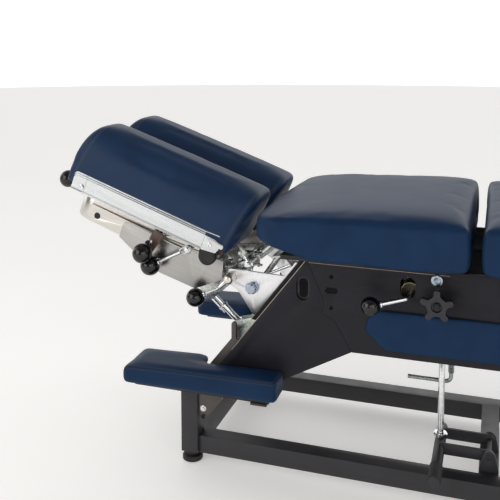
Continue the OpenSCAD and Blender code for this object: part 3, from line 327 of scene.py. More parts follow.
def outline(corners, draw_in=0.0, steps=6):
    """Points round a polygon of (x, y, radius) corners, counter-clockwise, drawn in evenly."""
    points = []
    count = len(corners)
    lines = []
    for i, (x, y, _) in enumerate(corners):
        nx, ny, _ = corners[(i + 1) % count]
        along_edge = Vector((nx - x, ny - y)).normalized()
        inward = Vector((-along_edge.y, along_edge.x))
        lines.append((Vector((x, y)) + inward * draw_in, along_edge))
    for i, (_, _, r) in enumerate(corners):
        p, u = lines[i - 1]
        q, v = lines[i]
        cross = u.x * v.y - u.y * v.x
        t = ((q - p).x * v.y - (q - p).y * v.x) / cross
        corner = p + u * t
        bend = max(r - draw_in, 0.001) if cross > 0 else r + draw_in
        turn = math.acos(max(-1, min(1, u.dot(v))))
        reach = bend * math.tan(turn / 2)
        side = 1 if cross > 0 else -1
        centre = corner - u * reach + Vector((-u.y, u.x)) * side * bend
        arm = (corner - u * reach) - centre
        for k in range(steps + 1):
            a = side * turn * k / steps
            points.append((centre.x + arm.x * math.cos(a) - arm.y * math.sin(a),
                           centre.y + arm.x * math.sin(a) + arm.y * math.cos(a)))
    return points


def shrunk(points, share):
    """The points drawn towards their middle by a share."""
    cx = (max(p[0] for p in points) + min(p[0] for p in points)) / 2
    cy = (max(p[1] for p in points) + min(p[1] for p in points)) / 2
    return [(cx + (x - cx) * share, cy + (y - cy) * share) for x, y in points]


def plate(name, corners, back, front, ease=0.0006):
    """A flat plate on (x, z, radius) corners from one y to another, its front and back edges eased."""
    side = math.copysign(1, front - back)
    levels = [(back, ease), (back + side * ease * 0.3, ease * 0.3), (back + side * ease, 0),
              (front - side * ease, 0), (front - side * ease * 0.3, ease * 0.3), (front, ease)]
    return drawn(name, [[(x, y, z) for x, z in outline(corners, d, 5)] for y, d in levels])


def headed(name, rows, count=36):
    """A fastener on Z from (height, radius, share of hexagon) rows."""
    rings = []
    for z, r, hexed in rows:
        ring = []
        for k in range(count):
            a = math.tau * (k + 0.5) / count
            six = r * math.cos(math.pi / 6) / math.cos(a % (math.pi / 3) - math.pi / 6)
            reach = r * (1 - hexed) + six * hexed
            ring.append((reach * math.cos(a), reach * math.sin(a), z))
        rings.append(ring)
    return drawn(name, rings)


def socket_screw(name, r, h, key, shank=0.012, shank_r=0.004):
    """A low button-head screw with a hexagon socket."""
    return headed(name, [(-shank, shank_r, 0), (-0.0002, shank_r, 0), (0, r * 0.97, 0), (h * 0.12, r, 0),
                         (h * 0.62, r, 0), (h * 0.86, r * 0.95, 0), (h * 0.97, r * 0.84, 0), (h, r * 0.7, 0),
                         (h, key * 1.16, 0), (h - 0.0003, key, 0.9), (h - 0.0005, key, 1),
                         (h * 0.35, key, 1), (h * 0.3, key * 0.6, 0), (h * 0.28, key * 0.2, 0)])


def hex_bolt(name, r, h, washer, washer_t=0.0015, shank=0.014, shank_r=0.004):
    """A hexagon head with its corners chamfered, on a washer."""
    t = washer_t
    return headed(name, [(-shank, shank_r, 0), (-0.0002, shank_r, 0), (0, washer * 0.98, 0),
                         (t * 0.2, washer, 0), (t * 0.8, washer, 0), (t, washer * 0.97, 0), (t, r * 0.98, 1),
                         (t + 0.0003, r, 1), (t + h * 0.78, r, 1), (t + h * 0.92, r * 0.93, 0.6),
                         (t + h, r * 0.82, 0), (t + h, r * 0.3, 0)])


def eased(node, body, width):
    """A CAD part in its own finish, with its edges broken by a small round, as bent or ground parts have."""
    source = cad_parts[node]
    mesh = source.data.copy()
    mesh.transform(source.matrix_world)
    piece = bpy.data.objects.new(node + "_eased", mesh)
    bpy.context.scene.collection.objects.link(piece)
    edited(piece)
    bpy.ops.mesh.customdata_custom_splitnormals_clear()
    bpy.ops.mesh.remove_doubles(threshold=1e-6)
    bpy.ops.mesh.dissolve_limited(angle_limit=math.radians(1))
    outwards()
    modified(piece, "BEVEL", width=width, segments=2, limit_method="ANGLE",
             angle_limit=math.radians(35), use_clamp_overlap=True)
    return settle(piece, body, source.material_slots[0].material, node, smooth=35)


def stuffed(obj, voxel, rests):
    """Fills a cushion: remeshes it, lets pressure swell it, and holds where it rests."""
    care = bpy.context.scene.table_upholstery
    modified(obj, "REMESH", mode="VOXEL", voxel_size=voxel)
    modified(obj, "SMOOTH", factor=0.5, iterations=4)
    before = [v.co.copy() for v in obj.data.vertices]
    held = obj.vertex_groups.new(name="held")
    held.add([v.index for v in obj.data.vertices if rests(v.co)], 1.0, "REPLACE")
    cloth = obj.modifiers.new("Stuffing", "CLOTH")
    cloth.settings.use_pressure = True
    cloth.settings.uniform_pressure_force = care.pressure
    cloth.settings.effector_weights.gravity = 0
    cloth.settings.vertex_group_mass = "held"
    cloth.settings.tension_stiffness = 30
    cloth.settings.compression_stiffness = 30
    cloth.settings.bending_stiffness = 4
    cloth.settings.quality = 5
    last_step = 20
    cloth.point_cache.frame_start = 1
    cloth.point_cache.frame_end = last_step
    for step in range(1, last_step + 1):
        bpy.context.scene.frame_set(step)
    only(obj)
    bpy.ops.object.modifier_apply(modifier=cloth.name)
    bpy.context.scene.frame_set(1)
    for vertex, start in zip(obj.data.vertices, before):
        move = vertex.co - start
        if move.length > care.swell:
            vertex.co = start + move * (care.swell / move.length)
    obj.vertex_groups.clear()
    modified(obj, "SMOOTH", factor=0.4, iterations=2)
    modified(obj, "SUBSURF", levels=1, render_levels=1)
    return obj


def cocking_points(x1):
    """Knee and ball of the cocking lever of the cushion that ends at x1."""
    return [Vector((x1 + x, y, z)) for x, y, z in (COCK_KNEE, COCK_BALL)]


# Ways of finishing


def put(tree, kind, inputs=None, out=0, **settings):
    """Adds a node with its settings, gives its inputs values or links, and returns one of its outputs."""
    node = tree.nodes.new(kind)
    for name, value in settings.items():
        setattr(node, name, value)
    for name, value in (inputs or {}).items():
        if isinstance(value, bpy.types.NodeSocket):
            tree.links.new(value, node.inputs[name])
        else:
            node.inputs[name].default_value = value
    return node.outputs[out]


def begun(name, **sockets):
    """A new material: itself, its tree and its object coordinates, with its shader's first values set."""
    material = bpy.data.materials.new(name)
    material.use_nodes = True
    tree = material.node_tree
    for socket, value in sockets.items():
        tree.nodes["Principled BSDF"].inputs[socket.replace("_", " ")].default_value = value
    return material, tree, put(tree, "ShaderNodeTexCoord", out="Object")


# Settings of a Map Range that eases in and out, and of a Mix of colours
SMOOTHLY = {"interpolation_type": "SMOOTHSTEP"}
COLOURS = {"out": 2, "data_type": "RGBA"}


def tinted(tree, value, low, high, first, second, most=1):
    """A colour that runs smoothly from one to another while a pattern crosses a range."""
    share = put(tree, "ShaderNodeMapRange", {0: value, 1: low, 2: high, 3: 0, 4: most}, **SMOOTHLY)
    return put(tree, "ShaderNodeMix", {0: share, 6: first, 7: second}, **COLOURS)


def darker(colour, share):
    """A linear colour at a share of its brightness."""
    return tuple(c * share for c in colour[:3]) + (1.0,)


def dressed(material, tone, rough, height, strength, distance):
    """A material given its colour, its roughness and its relief.

    rough: a value, or a pattern's (value, low, high, roughness at low, roughness at high).
    """
    tree = material.node_tree
    if isinstance(rough, tuple):
        rough = put(tree, "ShaderNodeMapRange", dict(enumerate(rough)), **SMOOTHLY)
    relief = put(tree, "ShaderNodeBump", {"Height": height, "Strength": strength, "Distance": distance})
    for value, socket in ((tone, "Base Color"), (rough, "Roughness"), (relief, "Normal")):
        tree.links.new(value, tree.nodes["Principled BSDF"].inputs[socket])
    return material


@functools.cache
def vinyl(name, seams=(), gloss=0.105):
    """Expanded PVC upholstery vinyl on knitted backing: a soft broad gloss over a fine pebble grain.

    seams: planes as (normal, distance), where two panels are sewn together; gloss: strength of its shine.
    """
    colour = tuple(bpy.context.scene.table_upholstery.vinyl)
    material, tree, place = begun(name, IOR=1.5, Specular_IOR_Level=gloss)
    # Pebble grain of 0.9 mm, drawn at 1.4 mm so that it shows
    grain = put(tree, "ShaderNodeTexVoronoi", {"Vector": place, "Scale": 700.0}, "Distance")
    # Faint cloudiness of the calendered sheet, about 60 mm across
    cloud = put(tree, "ShaderNodeTexNoise", {"Vector": place, "Scale": 16.0, "Detail": 3.0})
    tone = tinted(tree, cloud, 0.3, 0.7, darker(colour, 0.9), darker(colour, 1.08))
    height = put(tree, "ShaderNodeMath", {0: grain, 1: 0.25}, operation="MULTIPLY")
    for normal, distance in seams:
        dot = put(tree, "ShaderNodeVectorMath", {0: place, 1: normal}, "Value", operation="DOT_PRODUCT")
        off = put(tree, "ShaderNodeMath", {0: dot, 1: distance}, operation="SUBTRACT")
        gap = put(tree, "ShaderNodeMath", {0: off}, operation="ABSOLUTE")
        # Sewn groove 1.6 mm wide between two lips that stand out about 3 mm each side
        groove = put(tree, "ShaderNodeMapRange", {0: gap, 1: 0.0004, 2: 0.0012, 3: 1.0, 4: 0.0}, **SMOOTHLY)
        lip = put(tree, "ShaderNodeMapRange", {0: gap, 1: 0.0012, 2: 0.0042, 3: 1.0, 4: 0.0}, **SMOOTHLY)
        tone = put(tree, "ShaderNodeMix", {0: groove, 6: tone, 7: darker(colour, 0.35)}, **COLOURS)
        # The lips are paler
        paler_lip = put(tree, "ShaderNodeMath", {0: lip, 1: 0.07}, operation="MULTIPLY")
        tone = put(tree, "ShaderNodeMix", {0: paler_lip, 6: tone, 7: srgb("#8c95a6")}, **COLOURS)
        rise = put(tree, "ShaderNodeMath", {0: lip, 1: 1.2, 2: height}, operation="MULTIPLY_ADD")
        height = put(tree, "ShaderNodeMath", {0: groove, 1: -2.4, 2: rise}, operation="MULTIPLY_ADD")
    return dressed(material, tone, (cloud, 0.3, 0.7, 0.45, 0.475), height, 0.35, 0.0006)


@functools.cache
def painted(name, colour, rough, gloss=0.5):
    """Satin polyester powder coat on steel: dark, even, with a fine orange peel in its gloss."""
    material, tree, place = begun(name, IOR=1.5, Specular_IOR_Level=gloss)
    # Orange peel about 2 mm across, and larger sags of 40 mm
    peel = put(tree, "ShaderNodeTexNoise", {"Vector": place, "Scale": 420.0, "Detail": 2.0})
    sag = put(tree, "ShaderNodeTexNoise", {"Vector": place, "Scale": 22.0, "Detail": 3.0})
    tone = tinted(tree, sag, 0.3, 0.7, darker(colour, 0.88), darker(colour, 1.15))
    return dressed(material, tone, (sag, 0.3, 0.7, rough - 0.04, rough + 0.06), peel, 0.12, 0.0005)


@functools.cache
def brushed(name, colour, turn=0.0, rough=0.3, lay="X", depth=0.1):
    """Brushed stainless or aluminium: long fine streaks that break its reflections into bands.

    turn: the sheet's own turn about Y; lay: the axis that its streaks follow.
    """
    material, tree, place = begun(name, Metallic=1.0)
    sheet = put(tree, "ShaderNodeMapping", {"Vector": place, "Rotation": (0.0, turn, 0.0)})
    # Streaks 0.6 mm wide, drawn 1.5 mm wide so that they show, and 120 mm long
    stretch = (8.0, 650.0, 650.0) if lay == "X" else (650.0, 650.0, 8.0)
    strokes = put(tree, "ShaderNodeMapping", {"Vector": sheet, "Scale": stretch})
    streak = put(tree, "ShaderNodeTexNoise", {"Vector": strokes, "Scale": 1.0, "Detail": 4.0})
    # Finger smears about 55 mm across
    smear = put(tree, "ShaderNodeTexNoise", {"Vector": place, "Scale": 18.0, "Detail": 4.0})
    tone = tinted(tree, streak, 0.3, 0.7, darker(colour, 1 - depth), colour)
    grit = put(tree, "ShaderNodeMath", {0: streak, 1: 0.14, 2: rough - 0.12}, operation="MULTIPLY_ADD")
    gloss = put(tree, "ShaderNodeMath", {0: smear, 1: 0.12, 2: grit}, operation="MULTIPLY_ADD")
    return dressed(material, tone, gloss, streak, 0.05, 0.0003)


@functools.cache
def plated(name, colour, low=0.05, high=0.14, spangle=30.0, depth=0.08):
    """Electroplated steel: a mirror broken by faint smears, or the mottle of zinc."""
    material, tree, place = begun(name, Metallic=1.0)
    # Smears about 30 mm across, and crystals of 4 mm
    smear = put(tree, "ShaderNodeTexNoise", {"Vector": place, "Scale": spangle, "Detail": 4.0})
    cells = put(tree, "ShaderNodeTexVoronoi", {"Vector": place, "Scale": spangle * 8}, "Color")
    fleck = put(tree, "ShaderNodeSeparateColor", {0: cells})
    tone = put(tree, "ShaderNodeMix", {0: fleck, 6: darker(colour, 1 - depth * 2), 7: colour}, **COLOURS)
    return dressed(material, tone, (smear, 0.3, 0.7, low, high), fleck, depth, 0.0002)


@functools.cache
def moulded(name, colour, low, high, grain=900.0, depth=0.2):
    """Moulded plastic, phenolic or rubber: even colour with a fine spark-eroded skin."""
    material, tree, place = begun(name, IOR=1.52)
    # Skin of about 1 mm, and wear in patches of 20 mm
    skin = put(tree, "ShaderNodeTexNoise", {"Vector": place, "Scale": grain, "Detail": 2.0})
    wear = put(tree, "ShaderNodeTexNoise", {"Vector": place, "Scale": 45.0, "Detail": 3.0})
    tone = tinted(tree, wear, 0.35, 0.7, darker(colour, 0.85), darker(colour, 1.2))
    return dressed(material, tone, (wear, 0.35, 0.7, low, high), skin, depth, 0.0004)


@functools.cache
def plywood(name, colour, turn=0.0):
    """Varnished birch plywood seen on its edge: thin plies and a warm satin lacquer."""
    material, tree, place = begun(name, IOR=1.5)
    sheet = put(tree, "ShaderNodeMapping", {"Vector": place, "Rotation": (0.0, turn, 0.0)})
    # Plies 1.5 mm thick
    plies = put(tree, "ShaderNodeTexWave", {"Vector": sheet, "Scale": 105.0, "Distortion": 0.6}, "Fac",
                bands_direction="Z")
    grain = put(tree, "ShaderNodeTexNoise", {"Vector": sheet, "Scale": 60.0, "Detail": 5.0})
    tone = put(tree, "ShaderNodeMix", {0: plies, 6: darker(colour, 0.6), 7: colour}, **COLOURS)
    tone = tinted(tree, grain, 0.4, 0.7, tone, darker(colour, 0.5), 0.4)
    return dressed(material, tone, (grain, 0.3, 0.7, 0.35, 0.5), plies, 0.2, 0.0003)


# Finishes that several pieces share


def satin_black():
    """Powder coat of the plates: nearly black, with a wide dull sheen."""
    return painted("satin_black_powder_coat", tuple(bpy.context.scene.table_hardware.paint), 0.46, 0.22)


def frame_black():
    """Powder coat of the tubes: matt charcoal."""
    return painted("matt_black_powder_coat", srgb("#2a292d"), 0.5)


def bronzed_steel():
    """Brown lacquer over the clamping strap."""
    return painted("bronzed_strap", srgb("#4d3b31"), 0.3)


def chrome():
    """Bright chrome plate: a hard, nearly white mirror."""
    return plated("chrome_plated_steel", srgb("#e4e6e9"))


def zinc():
    """Dull zinc plate: grey with a coarse mottle."""
    return plated("zinc_plated_steel", srgb("#b4bab4"), 0.22, 0.42, 40.0, 0.22)


def bright_zinc():
    """Bright zinc plate: paler, with a softer mottle."""
    return plated("bright_zinc_steel", srgb("#d3d6d2"), 0.2, 0.34, 40.0, 0.16)


def spring_steel():
    """Drawn spring wire: grey, half bright."""
    return plated("spring_steel_wire", srgb("#9ea3a8"), 0.2, 0.32)


def blackened_steel():
    """Oiled black oxide: dark with a soft metal glint."""
    return plated("blackened_steel", srgb("#3a3837"), 0.25, 0.4)


def clamp_steel():
    """Polished stainless strip: pale, with the faintest streaks along it."""
    return brushed("polished_clamp_steel", srgb("#d4d7d8"), -HEAD_TILT, 0.25, "X", 0.05)


def phenolic():
    """Polished phenolic: deep black under a wet gloss."""
    return moulded("black_phenolic_ball", srgb("#08080a"), 0.05, 0.12, 60.0, 0.02)


def nylon():
    """Textured nylon: blue-black with a silky sheen."""
    return moulded("textured_nylon_knob", srgb("#1d1e27"), 0.38, 0.5)


def rubber():
    """Moulded rubber: black and dull."""
    return moulded("moulded_rubber_foot", srgb("#18181a"), 0.6, 0.75)


# Pieces


def studio_floor(colour):
    """A broad sheet of matt studio paper."""
    fresh()
    bpy.ops.mesh.primitive_circle_add(vertices=64, radius=14, fill_type="NGON")
    floor = bpy.context.object
    floor.name = "studio_floor"
    # The paper is lit through, as a light table is, so that it stays as pale as the backdrop
    material, tree, place = begun("matt_studio_paper", Roughness=0.8, Emission_Color=srgb("#fffefb"),
                                  Emission_Strength=0.28)
    # Soft mottle of roll paper, half a metre across
    cloud = put(tree, "ShaderNodeTexNoise", {"Vector": place, "Scale": 2.0, "Detail": 2.0})
    tree.links.new(tinted(tree, cloud, 0.3, 0.7, darker(colour, 0.985), colour),
                   tree.nodes["Principled BSDF"].inputs["Base Color"])
    floor.data.materials.append(material)


def surround(scene, brightness):
    """Bright backdrop behind, a dimmer ceiling and room on the camera's side, a dark doorway to the left."""
    world = bpy.data.worlds.new("studio")
    scene.world = world
    world.use_nodes = True
    tree = world.node_tree
    way = put(tree, "ShaderNodeTexCoord", out="Generated")
    side, door = [put(tree, "ShaderNodeVectorMath", {0: way, 1: towards}, "Value", operation="DOT_PRODUCT")
                  for towards in ((-0.3, 0.95, 0.0), (-0.9, -0.42, 0.0))]
    up = put(tree, "ShaderNodeSeparateXYZ", {0: way}, 2)
    room = tinted(tree, side, -0.75, 0.25, srgb("#7d7874"), srgb("#ffffff"))
    room = tinted(tree, up, 0.3, 0.95, room, srgb("#474648"), 0.85)
    room = tinted(tree, door, 0.86, 0.96, room, srgb("#3a2f28"), 0.9)
    back = tree.nodes["Background"]
    tree.links.new(room, back.inputs["Color"])
    back.inputs["Strength"].default_value = brightness


class TABLE_OT_studio(bpy.types.Operator):
    """Pale floor, soft studio light and the camera"""
    bl_idname = "table.studio"
    bl_label = "Studio"

    def execute(self, context):
        care = context.scene.table_studio
        studio_floor(tuple(care.floor))
        surround(context.scene, care.sky)
        subject = Vector((-0.2, 0, 0.4))
        for name, where, size, share in (
                ("overhead_softbox", (-0.4, -0.5, 2.8), 1.8, 0.05),
                ("left_softbox", (-2.4, -2.6, 1.5), 2.2, 1.5),
                ("right_softbox", (2.2, -3.0, 1.4), 2.4, 1.3),
                ("camera_lamp", (0.1, -2.2, 1.0), 0.35, 0.12)):
            fresh()
            bpy.ops.object.light_add(type="AREA", location=where)
            lamp = context.object
            lamp.name = name
            lamp.data.energy = care.softbox * share
            lamp.data.size = size
            lamp.rotation_euler = (subject - Vector(where)).to_track_quat("-Z", "Y").to_euler()
        context.scene.view_settings.view_transform = "Standard"
        fresh()
        bpy.ops.object.camera_add(location=(0.0612, -1.6448, 0.9042),
                                  rotation=(math.radians(84.8), 0, math.radians(18.2)))
        camera = context.object
        camera.name = "photo_camera"
        camera.data.lens = 55.1
        camera.data.shift_y = -0.281
        context.scene.camera = camera
        return {"FINISHED"}


class TABLE_OT_finishes(bpy.types.Operator):
    """Finishes of the machined, bent and painted parts"""
    bl_idname = "table.finishes"
    bl_label = "Metal and board finishes"

    def execute(self, context):
        looks = {
            satin_black(): ["side_plates", "nose_plates", "nose_web", "nose_face_plate"],
            frame_black(): ["frame_rails", "front_legs", "rear_legs", "floor_frame", "foot_pedal",
                            "armrest_brackets", "chest_drop_frame", "pelvic_drop_frame"],
            # Glossy brown-grey enamel
            painted("warm_grey_enamel", srgb("#4a4440"), 0.35): ["leg_braces"],
            # Smooth black nylon
            moulded("nylon_slot_liner", srgb("#121213"), 0.3, 0.4): ["slot_liners"],
            rubber(): ["levelling_feet"],
            # Board coloured near black, painted shade where its edge shows between a cushion and the plates;
            # its plies barely show
            plywood("board_painted_shade_black", srgb("#131011")): ["armrest_boards", "leg_board", "chest_board",
                                                              "pelvic_board"],
            # Board stained walnut brown
            plywood("walnut_head_board", srgb("#4b2f22"), -HEAD_TILT): ["head_board"],
            # Pale aluminium, brushed upright
            brushed("brushed_aluminium_bracket", srgb("#e6e6e8"), 0.0, 0.3, "Z", 0.05): ["pivot_bracket"],
            # Grey stainless, brushed along the head section, kept darker than the pan: painted shade for how
            # its brushing reflects
            brushed("brushed_head_steel", srgb("#b5b3b0"), -HEAD_TILT): ["head_plates"],
            # Warmer stainless of the pan, made brighter than the head plates: a painted reflection for how
            # its brushing catches the light
            brushed("brushed_pan_steel", srgb("#d6d2cb"), -HEAD_TILT, 0.24): ["head_pan"],
            clamp_steel(): ["clamp_ears", "clamp_bar_near", "clamp_bar_far"],
            bronzed_steel(): ["clamp_lever"],
            chrome(): ["pivot_shaft", "frame_bolts", "head_cock_lever", "tilt_lock_lever", "end_plunger",
                       "strut_tube", "strut_rod", "chest_cock_lever", "pelvic_cock_lever", "push_rod"],
            bright_zinc(): ["hinge_block"],
            zinc(): ["strut_clevis", "head_channel", "lever_bearings", "lock_handle"],
            spring_steel(): ["head_spring", "drop_springs"],
            phenolic(): ["clamp_lever_ball", "head_cock_ball", "tilt_lock_ball", "end_plunger_ball",
                         "chest_cock_ball", "pelvic_cock_ball"],
            nylon(): ["head_tension_knob", "chest_star_knob", "pelvic_star_knob"],
            vinyl("navy_vinyl"): ["armrest_pads", "side_panels", "leg_cushion", "chest_cushion",
                                  "pelvic_cushion", "head_cushion_near", "head_cushion_far"],
        }
        for material, nodes in looks.items():
            for node in nodes:
                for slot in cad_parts[node].material_slots:
                    slot.material = material
        return {"FINISHED"}


def cushion_edge(corners, draw_in):
    """A cushion's plan outline with points along its straight sides too."""
    corner_points, cuts_per_side = 7, 13
    points = outline(corners, draw_in)
    result = []
    for i, (x, y) in enumerate(points):
        nx, ny = points[(i + 1) % len(points)]
        cuts = cuts_per_side if i % corner_points == corner_points - 1 else 1
        result += [(x + (nx - x) * k / cuts, y + (ny - y) * k / cuts) for k in range(cuts)]
    return result


def clamped(value):
    """A value kept between 0 and 1."""
    return min(1.0, max(0.0, value))


def deck_cushion(name, body, x0, x1, head_r, foot_r, fall):
    """One deck cushion: boxed sides, a nearly flat crown, and pulled-up lower corners.

    fall: how far the crown and the underside taper towards the head end, 0 to 1.
    """
    corners = [(x0, -HALF_DECK, head_r), (x1, -HALF_DECK, foot_r), (x1, HALF_DECK, foot_r),
               (x0, HALF_DECK, head_r)]
    # Height over the deck and draw-in of each ring up the side, in millimetres
    levels = [(-5, 13), (-4.4, 9), (-2.4, 5.4), (2, 2.8), (9, 1.6), (18, 1.0), (36, 0.6), (54, 0.6),
              (68, 0.9), (77, 1.7), (82, 3.0), (85, 5.0), (86.5, 7.5)]
    rings = [[(x, y, DECK + z / 1000) for x, y in cushion_edge(corners, d / 1000)] for z, d in levels]
    # Crown: a low dome that leaves its seam softly and is flat within 50 mm
    seam_z, seam_in = DECK + 0.0865, 0.0075
    middle, half = (x0 + x1) / 2, (x1 - x0) / 2 - 0.007
    for share in (0.975, 0.945, 0.91, 0.86, 0.79, 0.7, 0.58, 0.44, 0.28, 0.12):
        ring = []
        for x, y in shrunk(cushion_edge(corners, seam_in), share):
            u, v = min(1, abs(x - middle) / half), min(1, abs(y) / (HALF_DECK - seam_in))
            run = (x1 - x) / (x1 - x0)
            crown = 0.0115 + fall * (0.005 - 0.0175 * run ** 1.3)
            ring.append((x, y, seam_z + crown * ((1 - u ** 6) * (1 - v ** 6)) ** 0.6))
        rings.append(ring)
    fold_lift, fold_reach, fold_height = 0.006, 0.045, 0.032
    bow, bow_run = 0.013, 0.12
    climb_lift, climb_run, keel_height = 0.031, 0.115, 0.062
    dip, dip_run = 0.007, 0.11
    for ring in rings:
        for i, (x, y, z) in enumerate(ring):
            # The lower corners are pulled up where the vinyl is folded
            low = clamped(1 - (z - DECK) / fold_height)
            for corner_x in (x0, x1):
                reach = math.hypot(x - corner_x, abs(y) - HALF_DECK) / fold_reach
                z += fold_lift * low * math.exp(-reach * reach)
            # A full head end, bowed outwards between its corners
            x -= bow * fall * max(0.0, 1 - (x - x0) / bow_run) * (1 - (y / HALF_DECK) ** 2)
            # The underside runs up towards the head end, least at its middle
            climb = max(0.0, x0 + climb_run - x) / climb_run
            keel = max(0.0, 1 - (z - DECK + 0.005) / keel_height)
            z += 0.006 * fall * min(1.0, (x1 - x) / 0.25) * keel
            z += climb_lift * fall * climb ** 0.85 * keel * (0.4 + 0.6 * (y / HALF_DECK) ** 2)
            # The head end's top edge dips a little
            z -= dip * fall * max(0.0, x0 + dip_run - x) / dip_run * clamped((z - DECK - 0.06) / 0.02)
            ring[i] = (x, y, z)
    piece = drawn(name + "_upholstery", rings)
    stuffed(piece, bpy.context.scene.table_upholstery.deck_voxel, lambda co: co.z < DECK - 0.002)
    settle(piece, body, vinyl("navy_vinyl_deck"), name + "_cushion", smooth=None)


class TABLE_OT_deck_cushions(bpy.types.Operator):
    """Chest, pelvic and leg cushions"""
    bl_idname = "table.deck_cushions"
    bl_label = "Deck cushions"

    def execute(self, context):
        deck_cushion("chest", "chest", -0.3965, CHEST_END, 0.055, 0.01, 1.0)
        deck_cushion("pelvic", "pelvic", 0.03507, PELVIC_END, 0.01, 0.01, 0.0)
        deck_cushion("leg", "frame", 0.47107, 0.91907, 0.01, 0.014, 0.0)
        return {"FINISHED"}


class TABLE_OT_head_rolls(bpy.types.Operator):
    """The two half-round head cushions"""
    bl_idname = "table.head_rolls"
    bl_label = "Head rolls"

    def execute(self, context):
        start, end, base = -0.423, -0.015, 0.0583
        wide, high, gap, lean = 0.160, 0.142, 0.036, math.radians(10)
        arch_points, base_points = 44, 12
        puff_depth, puff_share, seam_in = 0.044, 0.14, 0.017
        # Share of the length, and the slice's width, its arch's height and its base's lift as shares
        slices = [(0.000, 0.34, 0.30, 0.30), (0.0015, 0.62, 0.58, 0.16), (0.004, 0.82, 0.80, 0.06),
                  (0.009, 0.925, 0.925, 0), (0.018, 0.968, 0.972, 0), (0.035, 0.99, 0.993, 0)]
        slices += [(share, 1, 1, 0) for share in (0.07, 0.16, 0.3, 0.45, 0.55, 0.7, 0.84, 0.93)]
        slices += [(0.965, 0.99, 0.993, 0), (0.982, 0.968, 0.972, 0), (0.991, 0.925, 0.925, 0),
                   (0.996, 0.82, 0.80, 0.06), (0.9985, 0.62, 0.58, 0.16), (1.0, 0.34, 0.30, 0.30)]
        # End seams, square to the leaning slices
        normal = (HEAD.to_3x3() @ Vector((math.cos(lean), 0, -math.sin(lean)))).normalized()
        seams = tuple((tuple(normal), normal.dot(HEAD @ Vector((x, 0, base))))
                      for x in (end - seam_in, start + seam_in))
        down = HEAD.inverted()
        for side, name in SIDES:
            middle = side * (gap + wide) / 2
            rings = []
            for share, w, h, rise in slices:
                x0 = start + share * (end - start)
                ring = []
                for k in range(arch_points):
                    a = math.pi * k / (arch_points - 1)
                    y = wide / 2 * w * math.copysign(abs(math.cos(a)) ** 0.52, math.cos(a))
                    t = h * math.sin(a) ** 0.62
                    z = high * (t + rise)
                    # The head end's face bulges at mid height
                    puff = puff_depth * max(0.0, 1 - share / puff_share) ** 2 * t * max(0.0, 1 - t)
                    ring.append((x0 - puff + z * math.sin(lean), middle + y, base + z * math.cos(lean)))
                for k in range(1, base_points):
                    y = -wide / 2 * w * (1 - 2 * k / base_points)
                    z = high * rise
                    ring.append((x0 + z * math.sin(lean), middle + y, base + z * math.cos(lean)))
                rings.append(ring)
            piece = drawn(name + "_head_roll", rings)
            piece.data.transform(HEAD)
            stuffed(piece, context.scene.table_upholstery.head_voxel, lambda co: (down @ co).z < base + 0.003)
            settle(piece, "head_drop", vinyl("navy_vinyl_rolls", seams, 0.22),
                   "head_cushion_" + name, smooth=None)
        return {"FINISHED"}


class TABLE_OT_armrests(bpy.types.Operator):
    """The two L-shaped armrest pads"""
    bl_idname = "table.armrests"
    bl_label = "Armrests"

    def execute(self, context):
        low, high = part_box("armrest_pads")
        x0, x1, out, base = low.x, high.x, -low.y, 0.190
        # Inner edge of the pad's long arm and of its broad head end, in Y
        arm_in, broad_in = -0.1936, -0.1503
        # Height over the board and draw-in of each ring, in millimetres
        levels = [(0.3, 4.0), (2.4, 1.8), (8, 0.7), (18, 0.4), (27, 0.5), (32, 1.2), (35.4, 2.8), (37.6, 5.4),
                  (38.8, 9.5)]
        rings = []
        for z, d in levels:
            notch = -0.5372 + z * 0.000767
            corners = [(x0, -out, 0.011), (x1, -out, 0.011), (x1, arm_in, 0.009), (notch, arm_in, 0.004),
                       (notch - 0.0004, broad_in, 0.03), (x0, broad_in, 0.013)]
            rings.append([(x, y, base + z / 1000) for x, y in outline(corners, d / 1000, 5)])
        pad = drawn("armrest_pad", rings)
        stuffed(pad, context.scene.table_upholstery.head_voxel, lambda co: co.z < base + 0.002)
        thick, pleat, pleat_run = 0.0388, 0.0035, 0.028
        for vertex in pad.data.vertices:
            co = vertex.co
            run = (co.x - x0) / (x1 - x0)
            rise = (co.z - base) / thick
            # The pad is a little thicker at its foot end
            co.z = base - 0.0015 + 0.003 * run + rise * (0.0375 + 0.0070 * run)
            # Wrapped pleats at the foot end: a pinched waist over a lower corner that hangs
            end = max(0.0, 1 - (x1 - co.x) / pleat_run)
            co.x -= pleat * end * math.sin(math.pi * min(1, max(0, rise))) ** 2
            co.z -= pleat * end * max(0.0, 0.4 - rise) * max(0.0, 1 - abs(co.y + out - 0.012) / 0.03)
        # Seam round the pad below its top, along the pad's slope
        material = vinyl("navy_vinyl_armrest", (((-0.0245, 0, 1), base + 0.0504),))
        for name, place in (("near", HERE), ("far", MIRRORED)):
            twin = copy_of(pad, name + "_armrest_pad")
            settle(twin, "frame", material, "armrest_pads", place, None)
        bpy.data.objects.remove(pad)
        return {"FINISHED"}


